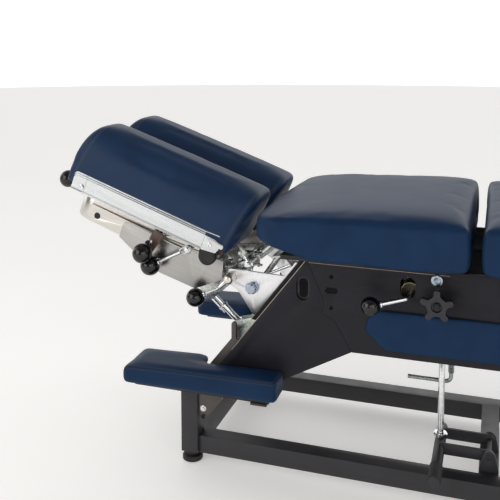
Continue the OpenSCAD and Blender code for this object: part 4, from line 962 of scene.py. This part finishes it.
class TABLE_OT_side_panels(bpy.types.Operator):
    """Upholstered panels on the side plates"""
    bl_idname = "table.side_panels"
    bl_label = "Side panels"

    def execute(self, context):
        x0, x1, z0, tall = -0.17993, 0.58107, 0.301, 0.082
        corners = [(x0 + tall * 0.5, z0, 0.02), (x1, z0, 0.024), (x1, z0 + tall, 0.024),
                   (x0 + tall * 0.35, z0 + tall, 0.02), (x0 + tall * 0.06, z0 + tall * 0.78, 0.012),
                   (x0, z0 + tall * 0.45, 0.012)]
        # Height over the plate and draw-in of each ring, in millimetres
        levels = ((0, 0.4), (1.5, 0.1), (3.6, 0.5), (5.4, 1.8), (6.7, 4), (7.4, 7), (7.8, 13))
        panel = drawn("side_panel", [[(x, -PLATE - 0.0003 - out / 1000, z)
                                      for x, z in outline(corners, d / 1000)] for out, d in levels])
        modified(panel, "REMESH", mode="VOXEL", voxel_size=0.0035)
        modified(panel, "SMOOTH", factor=0.5, iterations=5)
        for name, place in (("near", HERE), ("far", MIRRORED)):
            settle(copy_of(panel, name + "_side_panel"), "frame", vinyl("navy_vinyl"),
                   "side_panels", place, None)
        bpy.data.objects.remove(panel)
        return {"FINISHED"}


class TABLE_OT_ball_knobs(bpy.types.Operator):
    """Glossy ball knobs with their chromed collars"""
    bl_idname = "table.ball_knobs"
    bl_label = "Ball knobs"

    def execute(self, context):
        care = context.scene.table_hardware
        # Node, body, diameter, middle, and a point of the rod behind the ball
        knobs = []
        for x1, name in DROPS:
            knee, ball = cocking_points(x1)
            knobs.append((name + "_cock_ball", name + "_lever", care.small_ball, ball, knee))
        knobs += [(node, body, care.ball * size, HEAD @ Vector(ball), HEAD @ Vector(rod))
                  for node, body, size, ball, rod in (
                      ("clamp_lever_ball", "clamp_lever", 1, CLAMP_BALL, (-0.185, -0.165, -0.0095)),
                      ("head_cock_ball", "head_lever", 1, HEAD_COCK_BALL, HEAD_COCK_STUD),
                      ("tilt_lock_ball", "tilt_lock", 0.93, TILT_BALL, (-0.014, -0.158, -0.028)),
                      ("end_plunger_ball", "plunger", 0.955, (-0.458, PLUNGER_Y, PLUNGER_Z),
                       (-0.4, PLUNGER_Y, PLUNGER_Z)))]
        flat = math.asin(0.32)
        for node, body, size, ball, rod in knobs:
            place = along(ball, ball + (ball - rod))
            r = size / 2
            neck = -r * math.cos(flat) - 0.0006
            # The flat at its neck, then the ball
            profile = [(0, neck), (r * 0.3, neck)]
            for k in range(24):
                a = -QUARTER + flat + (math.pi - flat) * k / 24
                profile.append((r * math.cos(a), r * math.sin(a)))
            settle(turned(node + "_gloss", profile + [(0, r)], 40), body, phenolic(), node,
                   place, 50)
            collar = turned(node + "_collar", [(0, neck), (r * 0.4, neck), (r * 0.4, neck - 0.003),
                                               (r * 0.34, neck - 0.0042), (0, neck - 0.0042)], 24)
            settle(collar, body, chrome(), place=place)
        return {"FINISHED"}


def coil(name, turns, r, wire_r, length):
    """A coil spring on Z, from its own foot."""
    steps = 20
    count = turns * steps
    points = [(r * math.cos(math.tau * i / steps), r * math.sin(math.tau * i / steps),
               wire_r + i * (length - 2 * wire_r) / count) for i in range(count + 1)]
    return wire(name, points, wire_r, 2)


class TABLE_OT_springs(bpy.types.Operator):
    """Coil springs of the drop sections and of the head hinge"""
    bl_idname = "table.springs"
    bl_label = "Springs"

    def execute(self, context):
        for x1, name in DROPS:
            place = Matrix.Translation((x1 + STAR_X, -0.1867, STAR_Z)) @ Matrix.Rotation(-QUARTER, 4, "X")
            settle(coil(name + "_drop_spring", 6, 0.008, 0.0014, 0.032), "frame", spring_steel(),
                   "drop_springs", place, None)
        settle(coil("hinge_return_spring", 9, 0.0052, 0.0015, 0.0474), "head_frame", spring_steel(),
               "head_spring", lengthwise(-0.0357, -0.072, 0.024, HEAD), None)
        return {"FINISHED"}


def star_plan(reach, tip, root, lobes=5):
    """Outline (x, y) of a star knob: round lobes with shallow valleys between them."""
    plan = []
    for i in range(lobes):
        centre = QUARTER + i * math.tau / lobes
        for k in range(13):
            a = centre + (-math.radians(64) + math.radians(128) * k / 12)
            plan.append(((reach - tip) * math.cos(centre) + tip * math.cos(a),
                         (reach - tip) * math.sin(centre) + tip * math.sin(a)))
        for k in range(-2, 3):
            a = centre + math.pi / lobes + k * math.radians(9)
            r = root + 0.0022 * abs(k) / 2
            plan.append((r * math.cos(a), r * math.sin(a)))
    return plan


class TABLE_OT_star_knobs(bpy.types.Operator):
    """Five-lobed clamping knobs of the drop sections"""
    bl_idname = "table.star_knobs"
    bl_label = "Star knobs"

    def execute(self, context):
        plan = star_plan(context.scene.table_hardware.star, 0.0068, 0.0188)
        hub, hub_top, lobe_foot = 0.013, 0.018, 0.0222
        rings = []
        for z, share in ((0.0, 0.40), (hub_top, 0.42), (0.0205, 0.55), (lobe_foot, 0.93), (0.0235, 0.985),
                         (0.026, 1.0), (0.0325, 1.0), (0.0348, 0.975), (0.0358, 0.92), (0.036, 0.84)):
            blend = clamped((z - hub_top) / (lobe_foot - hub_top))
            ring = []
            for x, y in plan:
                a = math.atan2(y, x)
                r = math.hypot(x, y) * share * blend + hub * (1 - blend)
                ring.append((r * math.cos(a), r * math.sin(a), z))
            rings.append(ring)
        # Dished middle inside a round rim
        angles = [math.atan2(y, x) for x, y in plan]
        for z, r in ((0.036, 0.0115), (0.0354, 0.0106), (0.0292, 0.0098), (0.0285, 0.0062)):
            rings.append([(r * math.cos(a), r * math.sin(a), z) for a in angles])
        back, end = -0.044, 0.0333
        for x1, name in DROPS:
            node, body = name + "_star_knob", name + "_star"
            place = facing(x1 + STAR_X, -PLATE - 0.0003, STAR_Z)
            settle(drawn(node + "_lobes", rings), body, nylon(), node, place, 38)
            stud = turned(node + "_stud", [(0, back), (0.004, back), (0.004, 0.0325), (0.0034, end),
                                           (0, end)], 24)
            nut = headed(node + "_nut", [(0.0275, 0.0062, 1), (0.0281, 0.0066, 1), (0.0316, 0.0066, 1),
                                         (0.0322, 0.0058, 0.5), (0.0322, 0.002, 0)])
            back_nut = turned(node + "_back_nut", [(0, back), (0.0105, back), (0.011, -0.0435),
                                                   (0.011, -0.0405), (0.0105, -0.04), (0, -0.04)], 32)
            settle(joined(node + "_stud", [stud, nut, back_nut]), body, blackened_steel(),
                   place=place)
        return {"FINISHED"}


def bar_section(top, low):
    """Outline (y, z) of the clamp strip: hemmed foot, hollow face, double rolled top edge."""
    points = []

    def arc(y, z, r, start, end, steps):
        for k in range(steps + 1):
            a = math.radians(start + (end - start) * k / steps)
            points.append((y + r * math.cos(a), z + r * math.sin(a)))

    arc(-0.1802, low + 0.0018, 0.0018, -60, -215, 6)
    points.append((-0.1802, low + 0.0045))
    for k in range(7):
        share = k / 6
        points.append((-0.1814 + 0.0007 * math.sin(math.pi * share),
                       low + 0.0062 + (top - low - 0.0165) * share))
    points.append((-0.1801, top - 0.0092))
    arc(-0.1801, top - 0.0070, 0.0016, 230, 130, 4)
    points.append((-0.1798, top - 0.0051))
    arc(-0.1795, top - 0.0026, 0.0024, 220, -40, 10)
    points += [(-0.1790, top - 0.0060), (-0.1790, low + 0.0050)]
    return points


class TABLE_OT_clamp_bars(bpy.types.Operator):
    """Swinging clamp strips under the head rolls, with their fixed end pieces"""
    bl_idname = "table.clamp_bars"
    bl_label = "Clamp strips"

    def execute(self, context):
        low, top = 0.046, 0.0912
        left, right, ear, joint = -0.367, -0.072, 0.032, 0.0006
        strip_y, board_y, leg = -0.1795, -0.1505, 0.014
        section = bar_section(top, low)
        bar = drawn("clamp_strip", [[(x, y, z) for y, z in section] for x in
                                    (left, left + 0.0002, -0.30, -0.22, -0.14, right - 0.0002, right)])
        # The head end's piece, its corners rounded
        rings = []
        corner = 0.009
        for d in (0, 0.0004, 0.0012, 0.0025, 0.0045, 0.0075, 0.012, ear - 0.0002, ear):
            drop = corner - math.sqrt(max(0.0, corner ** 2 - (corner - min(d, corner)) ** 2))
            share = 1 - drop / (top - low)
            rings.append([(left - joint - ear + d, y, low + (z - low) * share) for y, z in section])
        head_end = drawn("head_end_piece", rings)
        # The foot end's piece: sloping shoulder and a rounded lug over a notch
        start = right + joint
        foot_end = plate("foot_end_piece", [
            (start, 0.048, 0.001), (-0.0385, 0.0528, 0.003), (-0.0345, 0.0620, 0.003),
            (-0.0343, 0.0652, 0.0012), (-0.0276, 0.0660, 0.003), (-0.0258, 0.0715, 0.004),
            (-0.0286, 0.0766, 0.003), (-0.0375, 0.0769, 0.006), (-0.0506, 0.0806, 0.010),
            (start, 0.0812, 0.001)], -0.179, -0.182, 0.0005)
        for name, place in (("near", HEAD), ("far", HEAD @ MIRRORED)):
            settle(copy_of(bar, name + "_clamp_strip"), name + "_bar", clamp_steel(),
                   "clamp_bar_" + name, place, 50)
            for piece in (head_end, foot_end):
                settle(copy_of(piece, name + "_" + piece.name), "head_drop", clamp_steel(),
                       "clamp_ears", place, 50)
            # Lip that runs on over the foot end's piece, legs down to the board and the strip's pin
            pin_ends = [(left - 0.0036, -0.1805, 0.050), (right + 0.0036, -0.1805, 0.050)]
            fixings = [wire(name + "_lip", [(start, strip_y, 0.0889), (-0.0405, strip_y, 0.0905)], 0.0019),
                       wire(name + "_pin", pin_ends, 0.0012)]
            for x in (left - joint - ear / 2, start + ear / 2):
                fixings.append(plate(name + "_leg", [(x - leg, 0.052, 0.002), (x + leg, 0.052, 0.002),
                                                     (x + leg, 0.055, 0.001), (x - leg, 0.055, 0.001)],
                                     board_y, strip_y, 0.0004))
            settle(joined(name + "_strip_fixings", fixings), "head_drop", clamp_steel(),
                   place=place, smooth=50)
            for x, z, end in ((-0.375, 0.0605, "head"), (-0.0555, 0.0649, "foot")):
                screw = socket_screw(name + "_strip_screw_" + end, 0.0052, 0.002, 0.0024, 0.003, 0.002)
                settle(screw, "head_drop", chrome(), place=place @ facing(x, -0.1818, z))
        for piece in (bar, head_end, foot_end):
            bpy.data.objects.remove(piece)
        return {"FINISHED"}


def slot_lining(name, x, z):
    """Yellow-plated liner of a lever's slot, and the dark floor behind it, its darkness painted shade."""

    def obround(half_x, half_z, y):
        corners = [(x + side * half_x, z + end * half_z, half_x - 0.0002)
                   for side, end in ((-1, -1), (1, -1), (1, 1), (-1, 1))]
        return [(px, y, pz) for px, pz in outline(corners)]

    outer, inner = (0.0170, 0.0240), (0.0158, 0.0228)
    back, front = -0.150, -0.1868
    liner = drawn(name + "_slot_liner", [obround(*outer, back), obround(*outer, front),
                                         obround(*inner, front), obround(*inner, back - 0.002)])
    # Both ends are opened, and the tube's wall is closed behind
    bpy.ops.object.mode_set(mode="EDIT")
    bpy.ops.mesh.select_mode(type="FACE")
    bpy.ops.mesh.select_all(action="DESELECT")
    bpy.ops.mesh.select_face_by_sides(number=28, type="EQUAL")
    bpy.ops.mesh.delete(type="FACE")
    bpy.ops.mesh.select_mode(type="EDGE")
    bpy.ops.mesh.select_non_manifold()
    bpy.ops.mesh.bridge_edge_loops()
    bpy.ops.mesh.select_mode(type="VERT")
    bpy.ops.object.mode_set(mode="OBJECT")
    # Yellow chromate over zinc: dull straw
    settle(liner, "frame", plated("yellow_zinc_liner", srgb("#8a8156"), 0.22, 0.36))
    floor = drawn(name + "_slot_floor", [obround(0.0159, 0.0229, y) for y in (-0.151, -0.168)])
    # Olive floor, dark as painted shade deep in the slot
    settle(floor, "frame", painted("olive_slot_shade", srgb("#3b3826"), 0.3))


class TABLE_OT_levers(bpy.types.Operator):
    """Bent levers, the clamping strap, the end plunger and the lock handle"""
    bl_idname = "table.levers"
    bl_label = "Levers"

    def execute(self, context):
        for x1, name in DROPS:
            self.cocking_lever(x1, name)
        self.tilt_lock()
        self.head_cocking_rod()
        self.clamping_strap()
        self.tension_disc()
        self.end_plunger()
        self.lock_handle()
        return {"FINISHED"}

    def cocking_lever(self, x1, name):
        """A drop section's lever: a hub on its shaft and a rod bent to its ball."""
        knee, ball = cocking_points(x1)
        tip = knee + (ball - knee) * (1 - 0.017 / (ball - knee).length)
        x = x1 + COCK_X
        rod = wire(name + "_lever", arc_path([(x, -0.062, COCK_Z), knee, tip], 0.014, 10), 0.0045)
        hub = turned(name + "_hub", [(0.0062, -0.021), (0.0102, -0.021), (0.011, -0.0202), (0.011, 0.0202),
                                     (0.0102, 0.021), (0.0062, 0.021)], 32)
        hub.data.transform(lengthwise(x, -0.06, COCK_Z))
        slot_lining(name, x, COCK_Z)
        settle(joined(name + "_cock_lever_bent", [rod, hub]), name + "_lever", chrome(),
               name + "_cock_lever", smooth=50)

    def tilt_lock(self):
        """Pale boss on the pivot, thick sleeve, thin rod to the ball."""
        knee, ball, pivot_y = Vector(TILT_KNEE), Vector(TILT_BALL), -0.154
        tip = knee + (ball - knee) * (1 - 0.018 / (ball - knee).length)
        rod = wire("tilt_rod", arc_path([(0, pivot_y, 0), knee, tip], 0.010, 10), 0.0032)
        sleeve = turned("tilt_sleeve", [(0, 0), (0.0046, 0.0), (0.005, 0.0006), (0.005, 0.0255),
                                        (0.0046, 0.0266), (0.004, 0.0272), (0.0038, 0.0295), (0, 0.0295)], 28)
        sleeve.data.transform(along((0, pivot_y, 0), knee))
        settle(joined("tilt_lock_rod", [rod, sleeve]), "tilt_lock", chrome(),
               "tilt_lock_lever", HEAD, 50)
        boss = turned("tilt_lock_boss", [(0.0083, 0.0), (0.0104, 0.0), (0.011, 0.0006), (0.011, 0.021),
                                         (0.0098, 0.0256), (0.0072, 0.0282), (0.0045, 0.0292), (0, 0.0294),
                                         (0, 0.026), (0.0083, 0.026)], 36)
        # Cast aluminium: warm pale grey, turned bright
        settle(boss, "tilt_lock", brushed("cast_aluminium_boss", srgb("#e8e2da"), -HEAD_TILT, 0.3),
               "tilt_lock_lever", HEAD @ facing(0, -0.1303, 0))

    def head_cocking_rod(self):
        """The rod whose forked end sits on a stud."""
        stud, ball = Vector(HEAD_COCK_STUD), Vector(HEAD_COCK_BALL)
        way = (ball - stud).normalized()
        across = way.cross(Vector((0, 1, 0))).normalized()
        spread = across * 0.0062
        root, prong, crown = stud + way * 0.02, stud + way * 0.015, stud - way * 0.008
        rod = wire("cock_rod", [stud + way * 0.017, ball - way * 0.018], 0.0036)
        bends = [root + across * 0.001, prong + spread, crown + spread, crown - spread, prong - spread,
                 root - across * 0.001]
        fork = wire("cock_fork", arc_path(bends, 0.0055, 6), 0.0016)
        settle(joined("head_cock_rod", [rod, fork]), "head_lever", chrome(),
               "head_cock_lever", HEAD, 50)
        pin = hex_bolt("head_cock_pin", 0.0055, 0.004, 0.0072, 0.0012, 0.0142, 0.004)
        settle(pin, "head_lever", chrome(), "head_cock_lever",
               HEAD @ facing(stud.x, -0.1575, stud.z))

    def clamping_strap(self):
        """Strap, broad at the top, on its stud, with a plated collar above the ball."""
        back_y, front_y = -0.165, -0.170
        strap = plate("clamp_strap", [(-0.1965, -0.016, 0.006), (-0.1765, -0.016, 0.006),
                                      (-0.161, 0.036, 0.005), (-0.187, 0.040, 0.006)],
                      back_y, front_y, 0.0008)
        settle(strap, "clamp_lever", bronzed_steel(), "clamp_lever", HEAD)
        stud = turned("strap_stud", [(0, -0.0232), (0.004, -0.0232), (0.004, -0.0215), (0.0064, -0.0215),
                                     (0.0066, -0.021), (0.0066, 0.0004), (0, 0.0004)], 24)
        settle(stud, "clamp_lever", chrome(), "clamp_lever",
               HEAD @ facing(-0.174, back_y, 0.031))
        collar = headed("strap_collar", [(-0.0052, 0.0066, 0), (0, 0.0066, 0), (0.0001, 0.0092, 1),
                                         (0.0042, 0.0092, 1), (0.0046, 0.0078, 0), (0.0050, 0.0066, 0),
                                         (0.0076, 0.0062, 0), (0.0080, 0.0052, 0)])
        settle(collar, "clamp_lever", chrome(),
               place=HEAD @ facing(-0.185, front_y, -0.0095))
        nut = hex_bolt("strap_nut", 0.0062, 0.0085, 0.0072, 0.001, 0.003, 0.002)
        settle(nut, "clamp_lever", chrome(), place=HEAD @ facing(-0.189, -0.1698, 0.0075))

    def tension_disc(self):
        """Disc of bonded rubber with a fine ribbed rim."""
        rows = [(0.0, 0.0035), (0.005, 0.0035), (0.005, 0.008), (0.0085, 0.008), (0.0085, 0.0172),
                (0.0092, 0.0188), (0.0104, 0.0195), (0.0186, 0.0195), (0.0204, 0.0188), (0.0214, 0.0172),
                (0.0217, 0.0142), (0.0214, 0.010), (0.0208, 0.0045)]
        rim, rib, count = 0.019, 0.0003, 96
        rings = []
        for z, reach in rows:
            ring = []
            for k in range(count):
                a = math.tau * k / count
                r = reach - rib * (k % 2) if reach > rim else reach
                ring.append((r * math.cos(a), r * math.sin(a), z))
            rings.append(ring)
        # Bonded rubber: brown-black and dull
        settle(drawn("tension_disc", rings), "tension_knob",
               moulded("bronze_brown_rubber", srgb("#0e0a09"), 0.5, 0.6), "head_tension_knob",
               HEAD @ facing(-0.058, -0.1435, 0.031), 50)

    def end_plunger(self):
        """The plunger's rod and its bush."""
        plunger = turned("plunger_rod", [(0, 0.0), (0.0046, 0.0), (0.005, 0.0004), (0.005, 0.0795),
                                         (0, 0.0795)], 28)
        settle(plunger, "plunger", chrome(), "end_plunger",
               lengthwise(-0.438, PLUNGER_Y, PLUNGER_Z, HEAD))
        bush = headed("plunger_bush", [(-0.0066, 0.0058, 0), (-0.0066, 0.0092, 1), (-0.0062, 0.0098, 1),
                                       (-0.0012, 0.0098, 1), (-0.0004, 0.009, 0.5), (0.0, 0.0058, 0)])
        settle(bush, "head_drop", zinc(), place=lengthwise(-0.396, PLUNGER_Y, PLUNGER_Z, HEAD))

    def lock_handle(self):
        """One bent rod with a nut on its post."""
        low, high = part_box("lock_handle")
        x, y, grip_z, nut_z = low.x + 0.088, (low.y + high.y) / 2, 0.204, high.z - 0.004
        path = arc_path([(x, y, nut_z), (x, y, grip_z), (x - 0.0875, y, grip_z)], 0.011)
        rod = wire("handle_rod", path, 0.0042)
        post = turned("handle_post", [(0, 0.223), (0.0052, 0.223), (0.006, 0.224), (0.006, nut_z),
                                      (0.0108, nut_z), (0.011, high.z - 0.0036), (0.011, high.z - 0.0004),
                                      (0.0108, high.z), (0, high.z)], 28)
        post.data.transform(Matrix.Translation((x, y, 0)))
        settle(joined("bent_lock_handle", [rod, post]), "lock_handle", zinc(), "lock_handle",
               smooth=50)


class TABLE_OT_fasteners(bpy.types.Operator):
    """Hinge bolts, hexagon bolts and brace bolts"""
    bl_idname = "table.fasteners"
    bl_label = "Fasteners"

    def execute(self, context):
        brace_x, brace_y = -0.52293, 0.187
        hinge_back, hinge_z = 0.063, 0.451
        bracket_x, bracket_y, bracket_z = PIVOT.x + 0.046, 0.130, PIVOT.z - 0.020
        # Satin nickel: cool grey, half mirror
        satin = plated("satin_nickel_bolt", srgb("#a9b5c4"), 0.14, 0.24)
        for side, name in SIDES:
            for x1, section in DROPS:
                bolt = socket_screw(f"{section}_hinge_bolt_{name}", 0.0112, 0.0036, 0.005, 0.03, 0.005)
                settle(bolt, "frame", satin, "frame_bolts",
                       facing(x1 - hinge_back, side * PLATE, hinge_z))
            settle(hex_bolt("bracket_bolt_" + name, 0.0125, 0.009, 0.0138), "frame", satin,
                   "frame_bolts", facing(bracket_x, side * bracket_y, bracket_z)
                   @ Matrix.Rotation(math.radians(12), 4, "Z"))
            settle(hex_bolt("brace_bolt_" + name, 0.0055, 0.0036, 0.0068, 0.001, 0.008, 0.0036), "frame",
                   chrome(), "frame_bolts", facing(brace_x, side * brace_y, 0.122))
            # Dark stud below the brace bolt
            settle(socket_screw("brace_stud_" + name, 0.0045, 0.003, 0.002), "frame", blackened_steel(),
                   place=facing(brace_x, side * brace_y, 0.104))
        return {"FINISHED"}


def bent_strip(name, path, thickness, levels):
    """A strip of sheet along a path in X and Z, drawn through Y levels."""
    middle = [Vector((x, z)) for x, _, z in path]
    outer, inner = [], []
    for i, point in enumerate(middle):
        run = (middle[min(i + 1, len(middle) - 1)] - middle[max(i - 1, 0)]).normalized()
        normal = Vector((-run.y, run.x)) * thickness / 2
        outer.append(point + normal)
        inner.append(point - normal)
    return drawn(name, [[(p.x, y, p.y) for p in outer + inner[::-1]] for y in levels])


class TABLE_OT_hinge_works(bpy.types.Operator):
    """Plates, rods, nuts and the cradle of the head section's hinge"""
    bl_idname = "table.hinge_works"
    bl_label = "Hinge works"

    def execute(self, context):
        # Cradle on the nose: one bent strip, open to the head end, with its tube and its tie
        path = arc_path([(-0.392, 0, 0.4435), (-0.367, 0, 0.4475), (-0.345, 0, 0.4195), (-0.3525, 0, 0.408)],
                        0.008, 6)
        cradle = bent_strip("nose_cradle", path, 0.0034, (-0.116, -0.1155, -0.09, -0.06, -0.0595))
        # Bent bright strip, brushed along
        strip = brushed("bright_bent_strip", srgb("#bcbab6"), 0.0, 0.24)
        settle(cradle, "frame", strip, smooth=50)
        tube = wire("cradle_tube", [(-0.386, -0.075, 0.438), (-0.4179, -0.075, 0.392)], 0.0062, 5)
        settle(tube, "frame", bright_zinc(), smooth=50)
        tie = wire("cradle_tie", [(-0.352, -0.09, 0.425), (-0.402, -0.09, 0.401)], 0.0032)
        settle(tie, "frame", chrome(), smooth=50)
        # Link plates from the hinge to a cross rod
        link = [(-0.013, -0.006, 0.005), (0.012, -0.010, 0.005), (0.034, 0.028, 0.006),
                (0.020, 0.041, 0.006), (-0.004, 0.022, 0.005)]
        slant = [(-0.034, 0.0255, 0.002), (-0.004, 0.0145, 0.002), (0.008, 0.046, 0.003),
                 (-0.022, 0.0565, 0.003)]
        half_sheet, ease = 0.0018, 0.0005
        cross_x, cross_y, cross_z = 0.022, 0.108, 0.031
        pieces = [plate("link_plate", link, y - half_sheet, y + half_sheet, ease)
                  for y in (-0.098, -0.052, 0.052, 0.098)]
        pieces.append(plate("slant_plate", slant, -0.088, -0.0855, ease))
        pieces.append(wire("cross_rod", [(cross_x, -cross_y, cross_z), (cross_x, cross_y, cross_z)], 0.0045))
        settle(joined("hinge_links", pieces), "head_frame", bright_zinc(), place=HEAD)
        # Screws through the plates, and adjusting rods with their nuts
        rod_r, nut_r, nut_half = 0.0026, 0.0052, 0.002
        screws = []
        for x, y, z, r, h in ((cross_x, -0.1085, cross_z, 0.0085, 0.006),
                              (0.003, -0.100, 0.004, 0.006, 0.004),
                              (0.012, -0.100, 0.018, 0.005, 0.0035), (-0.012, -0.089, 0.040, 0.0052, 0.0035),
                              (-0.004, -0.089, 0.026, 0.0045, 0.003)):
            screws.append(hex_bolt("nut", r, h, r * 1.22, 0.0012, 0.004, 0.002))
            screws[-1].data.transform(facing(x, y, z))
        for y, x0, z0, x1, z1 in ((-0.082, -0.030, 0.012, 0.046, 0.034),
                                  (-0.064, -0.020, 0.034, 0.036, 0.052),
                                  (-0.104, 0.004, 0.046, 0.040, 0.014)):
            start, end = Vector((x0, y, z0)), Vector((x1, y, z1))
            screws.append(wire("adjusting_rod", [start, end], rod_r))
            for share in (0.12, 0.24, 0.72, 0.9):
                screws.append(headed("rod_nut", [(-nut_half, rod_r, 0), (-nut_half, nut_r, 1),
                                                 (nut_half, nut_r, 1), (nut_half, rod_r, 0)], 24))
                screws[-1].data.transform(along(start.lerp(end, share), end))
        settle(joined("hinge_screws", screws), "head_frame", chrome(), place=HEAD)
        return {"FINISHED"}


class TABLE_OT_stand(bpy.types.Operator):
    """Rubber feet, the pedal's ribbed sleeve and the push rod"""
    bl_idname = "table.stand"
    bl_label = "Feet, pedal and push rod"

    def execute(self, context):
        reach = 0.022
        foot = turned("foot", [(0, 0), (0.0196, 0), (0.0212, 0.0008), (reach, 0.0024), (0.0218, 0.0086),
                               (0.0206, 0.0112), (0.0186, 0.012), (0.0128, 0.0124), (0.012, 0.0134),
                               (0.012, 0.0182), (0.019, 0.0184), (0.019, 0.0219), (0, 0.0219)], 40)
        low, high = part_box("levelling_feet")
        for x, half, end in ((low.x + reach, 0.174, "front"), (high.x - reach, 0.168, "rear")):
            for side, name in SIDES:
                settle(copy_of(foot, f"{end}_{name}_foot"), "frame", rubber(),
                       "levelling_feet", Matrix.Translation((x, side * half, 0)))
        bpy.data.objects.remove(foot)
        # Ribbed rubber sleeve over the near end of the pedal bar
        bore, rib, groove, pitch = 0.0112, 0.0126, 0.0119, 0.0052
        profile = [(bore, 0.0), (0.0118, 0.0)]
        for k in range(10):
            z = 0.0008 + k * pitch
            profile += [(rib, z), (rib, z + 0.0034), (groove, z + 0.0038), (groove, z + 0.0048)]
        profile += [(rib, 0.0546), (bore, 0.0558)]
        bar_x, sleeve_y, bar_z = -0.03693, -0.1995, 0.0867
        settle(turned("pedal_sleeve", profile, 28), "pedal", rubber(),
               place=facing(bar_x, sleeve_y, bar_z))
        # Push rod with a rounded foot
        rod = turned("push_rod_turned", [(0, 0), (0.0128, 0), (0.014, 0.0012), (0.014, 0.0064),
                                         (0.0126, 0.008), (0.0078, 0.0082), (0.00635, 0.0096),
                                         (0.00635, 0.2526), (0.0056, 0.2535), (0, 0.2535)], 32)
        base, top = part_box("push_rod")
        settle(rod, "push_rod", chrome(), "push_rod",
               Matrix.Translation(((base.x + top.x) / 2, (base.y + top.y) / 2, base.z)))
        return {"FINISHED"}


class TABLE_OT_metalwork(bpy.types.Operator):
    """Plates, tubes and brackets with their edges broken"""
    bl_idname = "table.metalwork"
    bl_label = "Plates and tubes"

    def execute(self, context):
        # Body, slot, width of the broken edge in millimetres, and the nodes
        for body, slot, width, nodes in (
                ("frame", "black_paint", 0.9, ("side_plates", "nose_plates", "nose_face_plate", "nose_web")),
                ("frame", "dark_paint", 2.0, ("front_legs", "rear_legs")),
                ("frame", "dark_paint", 1.8, ("floor_frame",)),
                ("frame", "dark_paint", 1.5, ("frame_rails",)),
                ("frame", "dark_paint", 1.0, ("armrest_brackets", "leg_braces")),
                ("chest", "dark_paint", 1.0, ("chest_drop_frame",)),
                ("pelvic", "dark_paint", 1.0, ("pelvic_drop_frame",)),
                ("pedal", "dark_paint", 0.8, ("foot_pedal",)),
                ("frame", "bracket_alloy", 0.6, ("pivot_bracket",)),
                ("head_frame", "pan_steel", 0.4, ("head_plates",)),
                ("head_drop", "pan_steel", 0.3, ("head_pan",)),
                ("head_frame", "zinc_steel", 0.6, ("head_channel", "hinge_block")),
                ("frame", "zinc_steel", 0.5, ("strut_clevis", "lever_bearings")),
                ("strut_lower", "bright_chrome", 0.4, ("strut_tube",)),
                ("strut_upper", "bright_chrome", 0.3, ("strut_rod",))):
            for node in nodes:
                eased(node, body, width / 1000)
        # Pale metal wires along the edges of the nose plate and the side plate: painted highlights where
        # those edges catch the light
        edge_highlight = brushed("plate_edge_painted_highlight", srgb("#b5a99c"), 0.0, 0.3)
        nose_x, nose_z, nose_slope = -0.29793, 0.468, math.tan(math.radians(52.5))
        nose_y, top_y, edge_r = 0.1925, 0.1926, 0.0008
        for side, name in SIDES:
            nose = wire("nose_edge", [(nose_x - (nose_z - z) / nose_slope - 0.0002, side * nose_y, z)
                                      for z in (0.466, 0.40, 0.33, 0.262)], edge_r, 2)
            top = wire("plate_edge", [(-0.2935, side * top_y, 0.4628), (-0.02, side * top_y, 0.4612)],
                       edge_r, 2)
            settle(joined(name + "_nose_edge", [nose, top]), "frame", edge_highlight, smooth=50)
            # Dark plug behind the round hole of the pan
            plug = headed(name + "_pan_plug", [(-0.004, 0.008, 0), (-0.0036, 0.0086, 0), (-0.0008, 0.0086, 0),
                                               (0, 0.008, 0)])
            settle(plug, "head_drop", rubber(),
                   place=facing(-0.335, side * 0.1411, -0.002, HEAD))
        return {"FINISHED"}


OPERATORS = (
    TABLE_OT_studio, TABLE_OT_finishes, TABLE_OT_deck_cushions, TABLE_OT_head_rolls, TABLE_OT_armrests,
    TABLE_OT_side_panels, TABLE_OT_ball_knobs, TABLE_OT_springs, TABLE_OT_star_knobs,
    TABLE_OT_clamp_bars, TABLE_OT_levers, TABLE_OT_fasteners, TABLE_OT_hinge_works, TABLE_OT_stand,
    TABLE_OT_metalwork)


class TABLE_PT_pieces(bpy.types.Panel):
    """Pieces of the table"""
    bl_idname = "TABLE_PT_pieces"
    bl_label = "Chiropractic table"
    bl_space_type = "VIEW_3D"
    bl_region_type = "UI"
    bl_category = "Table"

    def draw(self, context):
        for group in ("table_upholstery", "table_hardware", "table_studio"):
            settings = getattr(context.scene, group)
            for name in settings.__annotations__:
                self.layout.prop(settings, name)
        for piece in OPERATORS:
            self.layout.operator(piece.bl_idname)


CLASSES = (TableUpholstery, TableHardware, TableStudio) + OPERATORS + (TABLE_PT_pieces,)


def register():
    for entry in CLASSES:
        bpy.utils.register_class(entry)
    bpy.types.Scene.table_upholstery = bpy.props.PointerProperty(type=TableUpholstery)
    bpy.types.Scene.table_hardware = bpy.props.PointerProperty(type=TableHardware)
    bpy.types.Scene.table_studio = bpy.props.PointerProperty(type=TableStudio)


def unregister():
    del bpy.types.Scene.table_studio
    del bpy.types.Scene.table_hardware
    del bpy.types.Scene.table_upholstery
    for entry in reversed(CLASSES):
        bpy.utils.unregister_class(entry)


def main():
    register()
    for piece in OPERATORS:
        group, name = piece.bl_idname.split(".")
        getattr(getattr(bpy.ops, group), name)()


if __name__ == "__main__":
    main()
